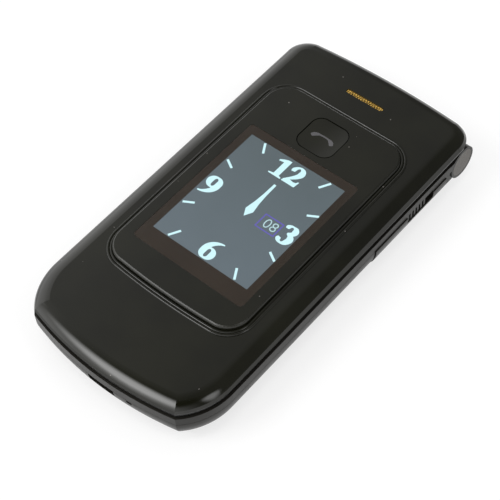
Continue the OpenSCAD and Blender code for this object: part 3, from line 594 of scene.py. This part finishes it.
def shared(tree, name, inputs):
    """Outputs of a shared group in a tree. The group is made when it is first used"""
    makers = {
        "moulded_surface": moulded_group, "dust_specks": dust_group,
        "brushed_lines": brushed_group, "studio_room": room_group}
    group = bpy.data.node_groups.get(name) or makers[name]()
    return add(tree, "ShaderNodeGroup", inputs, node_tree=group).outputs


# ---------------------------------------------------------------- materials

def rgba(colour, factor=1.0):
    return tuple(min(c * factor, 1.0) for c in colour) + (1.0,)


def new_material(name):
    """Material, its tree and the coordinates that its textures use"""
    material = bpy.data.materials.new(name)
    material.use_nodes = True
    tree = material.node_tree
    return material, tree, add(tree, "ShaderNodeTexCoord").outputs


def shade(tree, inputs, height=None, depth=0.0):
    """Sets the Principled shader, with a bump of some depth in metres where it has one"""
    shader = tree.nodes["Principled BSDF"]
    feed(tree, shader, inputs)
    if height is not None:
        bump = add(tree, "ShaderNodeBump", {
            "Strength": 1.0, "Distance": depth, "Height": height})
        feed(tree, shader, {"Normal": bump.outputs["Normal"]})


def plastic(name, colour, rough, tone=1.25, grain=0.0, grain_scale=4000.0, dust=0.0,
            smudge_scale=90.0, edge=0.0, specular=0.5):
    """Moulded or painted plastic. rough is (low, high), tone the unevenness of the colour,
    grain a height in metres, dust the share of cells with a speck, and edge the extra
    roughness of faces that lean away from the top"""
    material, tree, place = new_material(name)
    surface = shared(tree, "moulded_surface", {
        "Vector": place["Object"], "Colour": rgba(colour, 1 / tone),
        "Second Colour": rgba(colour, tone), "Rough Low": rough[0], "Rough High": rough[1],
        "Grain Scale": grain_scale, "Smudge Scale": smudge_scale})
    base = surface["Colour"]
    if dust > 0:
        specks = shared(tree, "dust_specks", {"Vector": place["Object"], "Share": dust})
        base = blend(tree, specks["Mask"], base, DUST_COLOUR)
    roughness = surface["Roughness"]
    if edge > 0:
        upright = axes(tree, place["Normal"])["Z"]
        lean = ranged(tree, upright, *EDGE_UPRIGHT, 0.0, edge)
        roughness = maths(tree, "ADD", roughness, lean)
    shade(tree, {"Base Color": base, "Roughness": roughness, "Specular IOR Level": specular},
          surface["Height"] if grain > 0 else None, grain)
    return material


def metal(name, colour, rough, scale=900.0, line=2e-6):
    """Bare metal with fine lines. rough is (low, high), line their depth in metres"""
    material, tree, place = new_material(name)
    lines = shared(tree, "brushed_lines", {
        "Vector": place["Object"], "Scale": scale, "Rough Low": rough[0],
        "Rough High": rough[1]})
    base = blend(tree, lines["Height"], rgba(colour, 0.8), rgba(colour, 1.15))
    shade(tree, {"Base Color": base, "Roughness": lines["Roughness"], "Metallic": 1.0},
          lines["Height"], line)
    return material


def woven(name, colour, pitch):
    """Fine metal weave of crossing wires, with painted shade darkening the wires' low runs and
    the gaps between them
    """
    material, tree, place = new_material(name)
    # a wave texture of scale 1 repeats every pi / 10
    wires = [
        add(tree, "ShaderNodeTexWave", {
            "Vector": place["Object"], "Scale": math.pi / 10 / pitch},
            bands_direction=axis).outputs["Fac"]
        for axis in ("X", "Y")]
    top = maths(tree, "MULTIPLY", wires[0], wires[1])
    # The gold falls to a fifth of its colour where the wires lie low: painted shade in the
    # weave's hollows and in the gaps between wires, where the real mesh has holes
    base = blend(tree, ranged(tree, top, 0.08, 0.42), rgba(colour, 0.22), rgba(colour))
    shade(tree, {"Base Color": base, "Metallic": 0.3, "Roughness": 0.38}, top, 3e-5)
    return material


def circuit_board(name):
    """Green laminate with copper tracks under the varnish"""
    material, tree, place = new_material(name)
    tracks = add(tree, "ShaderNodeTexBrick", {
        "Vector": place["Object"], "Scale": 420.0, "Mortar Size": 0.08,
        "Color1": (0.010, 0.085, 0.035, 1), "Color2": (0.014, 0.110, 0.045, 1),
        "Mortar": (0.060, 0.200, 0.060, 1)}).outputs
    shade(tree, {"Base Color": tracks["Color"], "Roughness": 0.32}, tracks["Fac"], 8e-6)
    return material


def lit(name, colour, strength, second=None):
    """Lit layer of the clock: an even glow, or a fade from second to colour along Y"""
    material, tree, place = new_material(name)
    glow = rgba(colour)
    if second is not None:
        fade = ranged(tree, axes(tree, place["Object"])["Y"], -0.018, 0.017)
        blotch = add(tree, "ShaderNodeTexNoise", {"Vector": place["Object"], "Scale": 110.0})
        uneven = ranged(tree, blotch.outputs["Fac"], 0.0, 1.0, -0.25, 0.25)
        share = maths(tree, "ADD", fade, uneven, clamp=True)
        glow = blend(tree, share, rgba(second), rgba(colour))
    shade(tree, {
        "Base Color": (0.01, 0.01, 0.012, 1), "Roughness": 0.18, "Emission Color": glow,
        "Emission Strength": strength})
    return material


def clear_pane(name, colour, alpha):
    """Clear hard-coated plastic pane"""
    material, tree, place = new_material(name)
    surface = shared(tree, "moulded_surface", {
        "Vector": place["Object"], "Rough Low": 0.05, "Rough High": 0.08,
        "Smudge Scale": 60.0})
    shade(tree, {"Base Color": rgba(colour), "Roughness": surface["Roughness"],
                 "Alpha": alpha, "IOR": 1.5})
    return material


# ---------------------------------------------------------------- operators

class PHONE_OT_stage(bpy.types.Operator):
    """Floor, lamps, sky and the camera at the photograph's angle"""
    bl_idname = "phone.stage"
    bl_label = "Studio"

    def floor(self):
        """White paper that keeps the phone's shadow"""
        deselect()
        bpy.ops.mesh.primitive_grid_add(
            x_subdivisions=8, y_subdivisions=8, size=FLOOR_SIZE, location=(0, 0, FLOOR_Z))
        floor = settle(bpy.context.object, "studio_floor")
        material, tree, _ = new_material("studio_paper")
        path = add(tree, "ShaderNodeLightPath").outputs
        seen = maths(tree, "MAXIMUM", path["Is Camera Ray"], path["Is Glossy Ray"])
        seen = maths(tree, "MAXIMUM", seen, path["Is Transmission Ray"])
        shade(tree, {
            "Base Color": rgba((FLOOR_WHITE,) * 3), "Roughness": 0.9,
            "Specular IOR Level": 0.0, "Emission Color": (1, 1, 1, 1),
            "Emission Strength": maths(tree, "MULTIPLY", seen, FLOOR_GLOW)})
        floor.data.materials.append(material)

    def sky(self):
        """White to the camera, even light on the phone, the studio's room in mirror images"""
        world = bpy.data.worlds.new("studio_sky")
        bpy.context.scene.world = world
        world.use_nodes = True
        tree = world.node_tree
        place = add(tree, "ShaderNodeTexCoord").outputs["Generated"]
        room = shared(tree, "studio_room", {"Direction": place, "Room": studio().room})
        path = add(tree, "ShaderNodeLightPath").outputs
        mirrored = add(tree, "ShaderNodeMix", {
            0: path["Is Glossy Ray"], 2: studio().sky, 3: room["Level"]}).outputs[0]
        seen = maths(tree, "MAXIMUM", path["Is Camera Ray"], path["Is Transmission Ray"])
        feed(tree, tree.nodes["Background"], {
            "Color": (1, 1, 1, 1), "Strength": maths(tree, "MAXIMUM", mirrored, seen)})

    def lamps(self):
        for name, watts, size, place in LAMPS:
            lamp = bpy.data.lights.new(name, "AREA")
            lamp.energy = getattr(studio(), watts)
            lamp.size = size
            holder = bpy.data.objects.new(name, lamp)
            bpy.context.collection.objects.link(holder)
            turn = (-place).to_track_quat("-Z", "Y")
            holder.matrix_world = Matrix.Translation(place) @ turn.to_matrix().to_4x4()
            holder.visible_glossy = False

    def camera(self):
        lens = bpy.data.cameras.new("photo_camera")
        lens.lens = CAMERA_LENS
        lens.sensor_width = CAMERA_SENSOR
        lens.clip_start = 0.01
        camera = bpy.data.objects.new("photo_camera", lens)
        bpy.context.collection.objects.link(camera)
        back = CAMERA_BACK.normalized()
        up = back.cross(CAMERA_RIGHT.normalized()).normalized()
        right = up.cross(back).normalized()
        pose = Matrix((right, up, back)).transposed().to_4x4()
        pose.translation = CAMERA_PLACE
        camera.matrix_world = pose
        bpy.context.scene.camera = camera

    def execute(self, context):
        self.floor()
        self.sky()
        self.lamps()
        self.camera()
        context.scene.view_settings.view_transform = "Standard"
        return {"FINISHED"}


class PHONE_OT_finishes(bpy.types.Operator):
    """Finishes of all the moulded, metal and board parts"""
    bl_idname = "phone.finishes"
    bl_label = "Part finishes"

    def execute(self, context):
        tone = colours()
        gloss, panel_gloss = [
            plastic(name, tone.lid_black, (0.055, 0.085), tone=1.3, dust=0.75,
                    smudge_scale=60.0, edge=edge)
            for name, edge in (("lid_gloss_black", 0.0), ("panel_gloss_black", 0.30))]
        casing = plastic("casing_satin", tone.casing_grey, (0.30, 0.38), tone=1.08,
                         grain=6e-6, grain_scale=9000.0, specular=0.20)
        frame_black = plastic("lid_frame_black", tone.frame_black, (0.22, 0.32), tone=1.1,
                              grain=3e-6, grain_scale=8000.0)
        steel = metal("plated_steel", (0.52, 0.52, 0.53), (0.22, 0.38))
        rubber = plastic("black_rubber", (0.018, 0.018, 0.018), (0.55, 0.75), grain=6e-6,
                         grain_scale=5000.0)
        mat_rubber = plastic("grey_silicone", (0.10, 0.10, 0.11), (0.5, 0.65), grain=4e-6,
                             grain_scale=5000.0)
        cap = plastic("hinge_cap_paint", tone.cap_grey, (0.24, 0.34), tone=1.06, grain=2e-6,
                      grain_scale=9000.0, specular=0.30)
        contact = metal("contact_gold", (0.62, 0.40, 0.12), (0.22, 0.36), scale=2400.0)
        weave = woven("gold_mesh", tone.mesh_gold, MESH_PITCH)
        board = circuit_board("varnished_board")
        film = plastic("dome_film", (0.55, 0.56, 0.60), (0.2, 0.32), tone=1.04)
        flex = plastic("amber_flex", (0.42, 0.19, 0.035), (0.2, 0.3), tone=1.1)
        key_black = plastic("key_cap_black", (0.0155, 0.0155, 0.0165), (0.16, 0.26), tone=1.12,
                            grain=2e-6, grain_scale=9000.0)
        key_green = plastic("key_cap_green", (0.012, 0.085, 0.028), (0.16, 0.26), tone=1.1)
        key_red = plastic("key_cap_red", (0.185, 0.012, 0.012), (0.16, 0.26), tone=1.1)
        nav = plastic("nav_silver_paint", (0.30, 0.31, 0.33), (0.2, 0.3), tone=1.05,
                      grain=2e-6, grain_scale=9000.0)
        cell = plastic("battery_wrap", (0.020, 0.024, 0.034), (0.3, 0.42), tone=1.1)
        dark_panel = plastic("dark_display", (0.006, 0.006, 0.008), (0.06, 0.12), tone=1.1)
        lens = clear_pane("camera_pane", (0.012, 0.012, 0.02), 0.62)
        by_part = {
            "lid_outer_shell": gloss, "panel_bezel": panel_gloss, "outer_call_key": gloss,
            "lid_inner_shell": frame_black, "base_front_shell": casing,
            "base_rear_shell": casing, "battery_cover": casing, "side_slider": casing,
            "hinge_cap_left": cap, "hinge_cap_right": cap, "speaker_mesh": weave,
            "lid_board": board, "main_board": board, "keypad_mat": mat_rubber,
            "dome_sheet": film, "hinge_flex": flex, "antenna": flex,
            "lid_bumpers": rubber, "loudspeaker": rubber, "earpiece_mesh": rubber,
            "camera_module": rubber, "battery": cell, "battery_contacts": contact,
            "inner_display": dark_panel, "outer_display": dark_panel,
            "camera_window": lens, "nav_rocker": nav,
            "call_key": key_green, "end_key": key_red,
        }
        for name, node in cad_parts.items():
            pressed = name.startswith(("key_", "soft_key")) or name.endswith("_key")
            node.data.materials.clear()
            node.data.materials.append(by_part.get(name, key_black if pressed else steel))
        return {"FINISHED"}


def panel_outline(grow):
    """Outline of the raised panel, moved outwards by grow: bowed at the chin end"""
    panel = footprint("panel_bezel")
    radius = PANEL_CORNER + grow
    bow = PANEL_BOW + grow
    bow_y = panel.low.y + PANEL_BOW
    corner_x = panel.size[0] / 2 - PANEL_CORNER
    near_y = bow_y - math.sqrt((bow - radius) ** 2 - corner_x ** 2)
    far_y = panel.high.y - PANEL_CORNER
    lean = math.asin(corner_x / (bow - radius))
    steps = PANEL_STEPS
    points = [(bow * math.sin(lean * k / steps), bow_y - bow * math.cos(lean * k / steps))
              for k in range(-steps, steps + 1)]
    quarter = math.pi / 2
    # the corners at the bowed end leave out the point that they share with the bow
    for x, y, start, end, row in (
            (corner_x, near_y, lean - quarter, 0.0, range(1, steps + 1)),
            (corner_x, far_y, 0.0, quarter, range(steps + 1)),
            (-corner_x, far_y, quarter, 2 * quarter, range(steps + 1)),
            (-corner_x, near_y, 2 * quarter, 3 * quarter - lean, range(steps))):
        for k in row:
            angle = start + (end - start) * k / steps
            points.append((x + radius * math.cos(angle), y + radius * math.sin(angle)))
    return points


class PHONE_OT_trim(bpy.types.Operator):
    """Rounded crowns of the beads round the panel, and dark rings of painted shade in the gaps
    round the hinge caps
    """
    bl_idname = "phone.trim"
    bl_label = "Beads and seams"

    def execute(self, context):
        gloss = bpy.data.materials["lid_gloss_black"]
        for name, grow in (("bead_inner", BEAD_SET), ("bead_outer", BEAD_SET + BEAD_PITCH)):
            places = [(x, y, LID_CHIN_Z + (y - LID_CHIN_Y) * LID_SLOPE)
                      for x, y in panel_outline(grow)]
            dress(tube(name, places, sizes().bead_radius), gloss, "lid")
        # The dark rings set into the gaps round the hinge caps are painted shade: they stand
        # for the shadow in those gaps
        dark = plastic("seam_black", (0.006, 0.006, 0.006), (0.5, 0.6), tone=1.05)
        for side, sign in (("left", -1), ("right", 1)):
            cap = footprint("hinge_cap_" + side)
            radius = (cap.high.z - cap.low.z) / 2 + CAP_GAP / 2
            face = cap.high.x if sign > 0 else cap.low.x
            places = []
            for k in range(GAP_SHADE_STEPS):
                angle = 2 * math.pi * k / GAP_SHADE_STEPS
                places.append((face - sign * GAP_SHADE_DEPTH,
                               cap.middle.y + radius * math.cos(angle),
                               cap.middle.z + radius * math.sin(angle)))
            shade_ring = tube("hinge_seam_" + side, places, sizes().gap_shade_radius)
            dress(shade_ring, dark, "base")
        return {"FINISHED"}


class PHONE_OT_inner_screen(bpy.types.Operator):
    """Glossy pane inside the lid and the printed frame behind it"""
    bl_idname = "phone.inner_screen"
    bl_label = "Inner screen"

    def execute(self, context):
        window = footprint("inner_window")
        face = window.low.z
        pane = plate("inner_pane", window.size, INNER_CORNER, window.middle,
                     face, face + INNER_PANE)
        dress(pane, clear_pane("inner_hard_coat", (0.008, 0.008, 0.010), 0.16),
              "lid")
        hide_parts("inner_window")
        mask = plate("inner_print", shrunk(window.size, PRINT_INSET), INNER_CORNER,
                     window.middle, face + INNER_PRINT, window.high.z)
        shown = footprint("inner_display")
        cut(mask, plate("display_cut", shrunk(shown.size, 2 * INNER_MARGIN), 0,
                        shown.middle, face - MM, window.high.z + MM))
        dress(mask, plastic("inner_print_black", (0.004, 0.004, 0.005), (0.1, 0.16), tone=1.1),
              "lid")
        return {"FINISHED"}


class PHONE_OT_camera_lens(bpy.types.Operator):
    """Lens and its ring behind the pane on the back of the phone"""
    bl_idname = "phone.camera_lens"
    bl_label = "Back camera"

    def execute(self, context):
        window = footprint("camera_window")
        x, y = window.middle.xy
        deselect()
        bpy.ops.mesh.primitive_torus_add(
            major_radius=RING_RADIUS, minor_radius=RING_WIRE, major_segments=64,
            minor_segments=12, location=(x, y, window.low.z + RING_Z))
        bpy.ops.object.shade_smooth()
        ring = settle(context.object, "camera_ring")
        dress(ring, bpy.data.materials["plated_steel"], "base")
        deselect()
        bpy.ops.mesh.primitive_uv_sphere_add(
            segments=48, ring_count=24, radius=1.0, location=(x, y, window.high.z))
        lens = context.object
        lens.scale = LENS_RADII
        bpy.ops.object.shade_smooth()
        settle(lens, "camera_lens")
        dress(lens, plastic("lens_glass", (0.004, 0.004, 0.009), (0.03, 0.06), tone=1.1),
              "base")
        return {"FINISHED"}


class PHONE_OT_window(bpy.types.Operator):
    """Clear pane over the clock and the printed frame under it"""
    bl_idname = "phone.window"
    bl_label = "Window"

    def execute(self, context):
        window = footprint("outer_window")
        top = window.high.z
        pane = plate("window_pane", window.size, WINDOW_CORNER, window.middle,
                     top - PANE_UNDER, top - PANE_TOP)
        dress(pane, clear_pane("pane_hard_coat", (0.03, 0.025, 0.02), 0.16), "lid")
        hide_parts("outer_window")
        mask = plate("window_print", shrunk(window.size, PRINT_INSET), WINDOW_CORNER,
                     window.middle, window.low.z, top - MASK_TOP)
        cut(mask, plate("screen_cut", (sizes().screen_width, sizes().screen_length), 0,
                        (0, SCREEN_Y), window.low.z - MM, top + MM))
        dress(mask, plastic("mask_print", colours().mask_brown, (0.12, 0.2), tone=1.12),
              "lid")
        return {"FINISHED"}


def clock_point(x, y):
    """Clock coordinates in millimetres from its middle, as a place in metres"""
    return Vector((x * MM, (y + CLOCK_Y) * MM))


def drawn(points):
    """Clock coordinates, or rows of them with a width, in metres"""
    return [tuple(clock_point(*point[:2])) + tuple(width * MM for width in point[2:])
            for point in points]


class PHONE_OT_clock(bpy.types.Operator):
    """Lit clock picture: ground, ticks, hands, numbers and date box"""
    bl_idname = "phone.clock"
    bl_label = "Clock face"

    def ticks(self, low, high):
        """Ticks at the hours that have no number, out to the edge of the lit area"""
        half_w = sizes().screen_width / MM / 2 - TICK_MARGIN
        half_l = sizes().screen_length / MM / 2 - TICK_MARGIN
        ticks = []
        for hour in range(12):
            if hour % 3 == 0:
                continue
            angle = math.radians(30 * hour)
            run = Vector((math.sin(angle), math.cos(angle)))
            reach = min(half_w / abs(run.x), half_l / abs(run.y), TICK_REACH)
            length = 3.3 if abs(run.x) < 0.7 else 3.0
            ends = [run * far + TICK_SHIFT for far in (reach - length, reach - TICK_MARGIN)]
            start, end = [clock_point(*place).to_3d() for place in ends]
            ticks.append(bar("tick", start, end, TICK_WIDTH, low, high))
        return joined("clock_ticks", ticks)

    def hands(self, low, high):
        return outline_plate("clock_hands", drawn([
            (-0.13, 9.0), (0.53, 9.0), (0.62, 5.3), (0.85, 2.4), (1.32, -0.35), (0.2, -2.4),
            (-0.92, -0.35), (-0.45, 2.4), (-0.22, 5.3)]), low, high)

    def twelve(self, low, high):
        return joined("clock_number_12", [
            outline_plate("one_stem", drawn([
                (-2.5, 16.0), (-1.9, 16.65), (-0.96, 16.7), (-0.96, 11.3), (-2.5, 11.3)]),
                low, high),
            outline_plate("one_flag", drawn([
                (-1.9, 16.65), (-2.9, 16.3), (-3.9, 15.7), (-3.85, 15.3), (-2.4, 15.55)]),
                low, high),
            outline_plate("one_foot", drawn([
                (-3.75, 11.35), (-2.5, 11.6), (-0.96, 11.6), (-0.2, 11.35), (-0.2, 11.0),
                (-3.75, 11.0)]), low, high),
            stroke("two_bow", drawn(smooth([
                (0.85, 14.75, 0.9), (0.8, 15.3, 1.2), (1.25, 16.15, 0.7), (2.0, 16.5, 0.55),
                (2.85, 16.05, 1.25), (3.15, 15.1, 1.65), (2.8, 14.1, 1.35), (2.0, 13.1, 0.95),
                (1.1, 12.2, 0.6), (0.4, 11.5, 0.4)])), low, high),
            outline_plate("two_foot", drawn([
                (0.2, 11.0), (3.95, 11.0), (4.2, 12.85), (3.9, 12.85), (3.55, 12.25),
                (2.9, 12.15), (1.6, 12.35), (0.9, 12.1), (0.2, 11.35)]), low, high)])

    def three(self, low, high):
        return joined("clock_number_3", [
            stroke("three_upper", drawn(smooth([
                (10.4, 1.0, 0.8), (10.45, 1.5, 1.15), (10.95, 2.0, 0.65), (11.6, 2.1, 0.5),
                (12.3, 1.8, 1.25), (12.65, 1.05, 1.6), (12.3, 0.25, 1.15),
                (11.3, -0.15, 0.45)])), low, high),
            stroke("three_lower", drawn(smooth([
                (11.3, -0.1, 0.45), (12.3, -0.4, 1.25), (12.9, -1.4, 1.7), (12.4, -2.6, 1.3),
                (11.6, -3.1, 0.6), (10.8, -2.9, 0.85), (10.45, -2.4, 1.25),
                (10.5, -1.9, 0.8)])), low, high)])

    def nine_and_six(self, low, high):
        """The six is the nine turned upside down and moved to its place"""
        bowl = arc(-11.5, 0.85, 1.3, 1.5, 0, 360, 28, 0.5, 1.62)
        tail = smooth([
            (-10.22, 0.9, 1.6), (-10.25, -0.3, 1.6), (-10.7, -1.4, 1.35), (-11.5, -2.25, 1.0),
            (-12.5, -2.85, 0.6), (-13.45, -3.1, 0.3)])
        numbers = []
        for name, turned in (("9", False), ("6", True)):
            strokes = []
            for points in (bowl, tail):
                if turned:
                    points = [(-10.94 - x, -14.65 - y, width) for x, y, width in points]
                strokes.append(stroke("part", drawn(points), low, high))
            numbers.append(joined("clock_number_" + name, strokes))
        return numbers

    def execute(self, context):
        tone = colours()
        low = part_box("outer_window")[1].z - LIT_TOP
        high = low + sizes().print_depth
        ground = plate("clock_ground", (sizes().screen_width, sizes().screen_length), 0,
                       (0, SCREEN_Y), low - LIT_THICKNESS, low)
        dress(ground, lit("screen_glow", tone.screen_high, 1.15, tone.screen_low),
              "lid")
        ice = lit("ice_glow", tone.digit_ice, 1.6)
        for piece in (self.ticks(low, high), self.hands(low, high), self.twelve(low, high),
                      self.three(low, high), *self.nine_and_six(low, high)):
            dress(piece, ice, "lid")
        centre = clock_point(6.62, -0.85)
        box = plate("date_box", DATE_BOX, 0, centre, low, high)
        cut(box, plate("date_cut", DATE_INSIDE, 0, centre, low - MM, high + MM))
        dress(box, lit("violet_glow", tone.date_violet, 1.5), "lid")
        date = lettering("date_number", "08", DATE_HEIGHT, clock_point(6.95, -0.75), low,
                         high, -0.012)
        dress(date, lit("date_glow", tone.digit_ice, 1.15), "lid")
        return {"FINISHED"}


class PHONE_OT_key_marks(bpy.types.Operator):
    """Handset mark on the outer key and the legends of the keypad"""
    bl_idname = "phone.key_marks"
    bl_label = "Key marks"

    def handset(self, name, place, z, width, turn, material, slot, body, hollow=0.0,
                thick=HANDSET_THICKNESS):
        """Handset drawn as a bent stroke; hollow is the radius of the hollow it lies in"""
        size = width / 6.5
        turned = Matrix.Rotation(math.radians(turn), 2)
        spine = []
        for px, py, across in smooth([
                (-3.0, -0.75, 0.8), (-2.65, -0.2, 1.1), (-2.0, 0.3, 0.95), (-1.2, 0.55, 0.5),
                (0.0, 0.66, 0.42), (1.2, 0.55, 0.5), (2.0, 0.3, 0.95), (2.65, -0.2, 1.1),
                (3.0, -0.75, 0.8)]):
            point = turned @ Vector((px * size, py * size))
            spine.append((point.x + place.x, point.y + place.y, across * size))
        mark = stroke(name, spine, z, z + thick)
        if hollow > 0:
            for vertex in mark.data.vertices:
                reach = (vertex.co.x - place.x) ** 2 + (vertex.co.y - place.y) ** 2
                vertex.co.z += reach / (2 * hollow)
        return dress(mark, material, body)

    def execute(self, context):
        tone = colours()
        grey = plastic("icon_grey", tone.icon_grey, (0.18, 0.26), tone=1.05)
        white = plastic("legend_white", tone.legend_white, (0.3, 0.4), tone=1.03)
        key = footprint("outer_call_key")
        self.handset("outer_key_mark", key.middle,
                     key.high.z - sizes().key_dish - LEGEND_PROUD, sizes().icon_width, 0,
                     grey, "lid_gloss", "outer_call_key_body", KEY_HOLLOW_RADIUS,
                     2 * LEGEND_PROUD)
        legends = {"key_" + text: text for text in "1234567890"}
        legends.update({"key_star": "*", "key_hash": "#"})
        for node, text in legends.items():
            key = footprint(node)
            height = sizes().legend_height * (0.55 if text == "*" else 1.0)
            mark = lettering(node + "_legend", text, height, key.middle,
                             key.high.z - LEGEND_SUNK, key.high.z + LEGEND_PROUD, 0.012)
            dress(mark, white, node + "_body")
        for node, turn in (("call_key", 0), ("end_key", 180)):
            key = footprint(node)
            self.handset(node + "_mark", key.middle, key.high.z - HANDSET_SUNK,
                         HANDSET_WIDTH, turn, white, "key_black", node + "_body")
        for node in ("soft_key_left", "soft_key_right"):
            key = footprint(node)
            mark = plate(node + "_mark", DASH_SIZE, DASH_CORNER, key.middle,
                         key.high.z - DASH_SUNK, key.high.z + LEGEND_PROUD)
            dress(mark, white, node + "_body")
        return {"FINISHED"}


class PHONE_PT_sidebar(bpy.types.Panel):
    """Lists the steps that dress the phone"""
    bl_idname = "PHONE_PT_sidebar"
    bl_label = "Clamshell phone"
    bl_space_type = "VIEW_3D"
    bl_region_type = "UI"
    bl_category = "Phone"

    def draw(self, context):
        column = self.layout.column(align=True)
        for step in STEPS:
            column.operator(step.bl_idname)
        for group in (colours(), sizes(), studio()):
            box = self.layout.box()
            for name in group.__annotations__:
                box.prop(group, name)


STEPS = (PHONE_OT_stage, PHONE_OT_finishes, PHONE_OT_trim, PHONE_OT_window, PHONE_OT_clock,
         PHONE_OT_key_marks, PHONE_OT_inner_screen, PHONE_OT_camera_lens)
GROUPS = (PhoneColours, PhoneSizes, PhoneStudio)


def register():
    for group in GROUPS:
        bpy.utils.register_class(group)
    for step in STEPS:
        bpy.utils.register_class(step)
    bpy.utils.register_class(PHONE_PT_sidebar)
    bpy.types.Scene.phone_colours = PointerProperty(type=PhoneColours)
    bpy.types.Scene.phone_sizes = PointerProperty(type=PhoneSizes)
    bpy.types.Scene.phone_studio = PointerProperty(type=PhoneStudio)


def unregister():
    del bpy.types.Scene.phone_studio
    del bpy.types.Scene.phone_sizes
    del bpy.types.Scene.phone_colours
    bpy.utils.unregister_class(PHONE_PT_sidebar)
    for step in reversed(STEPS):
        bpy.utils.unregister_class(step)
    for group in reversed(GROUPS):
        bpy.utils.unregister_class(group)


def main():
    register()
    bpy.ops.phone.stage()
    bpy.ops.phone.finishes()
    bpy.ops.phone.trim()
    bpy.ops.phone.window()
    bpy.ops.phone.clock()
    bpy.ops.phone.key_marks()
    bpy.ops.phone.inner_screen()
    bpy.ops.phone.camera_lens()
    deselect()


if __name__ == "__main__":
    main()
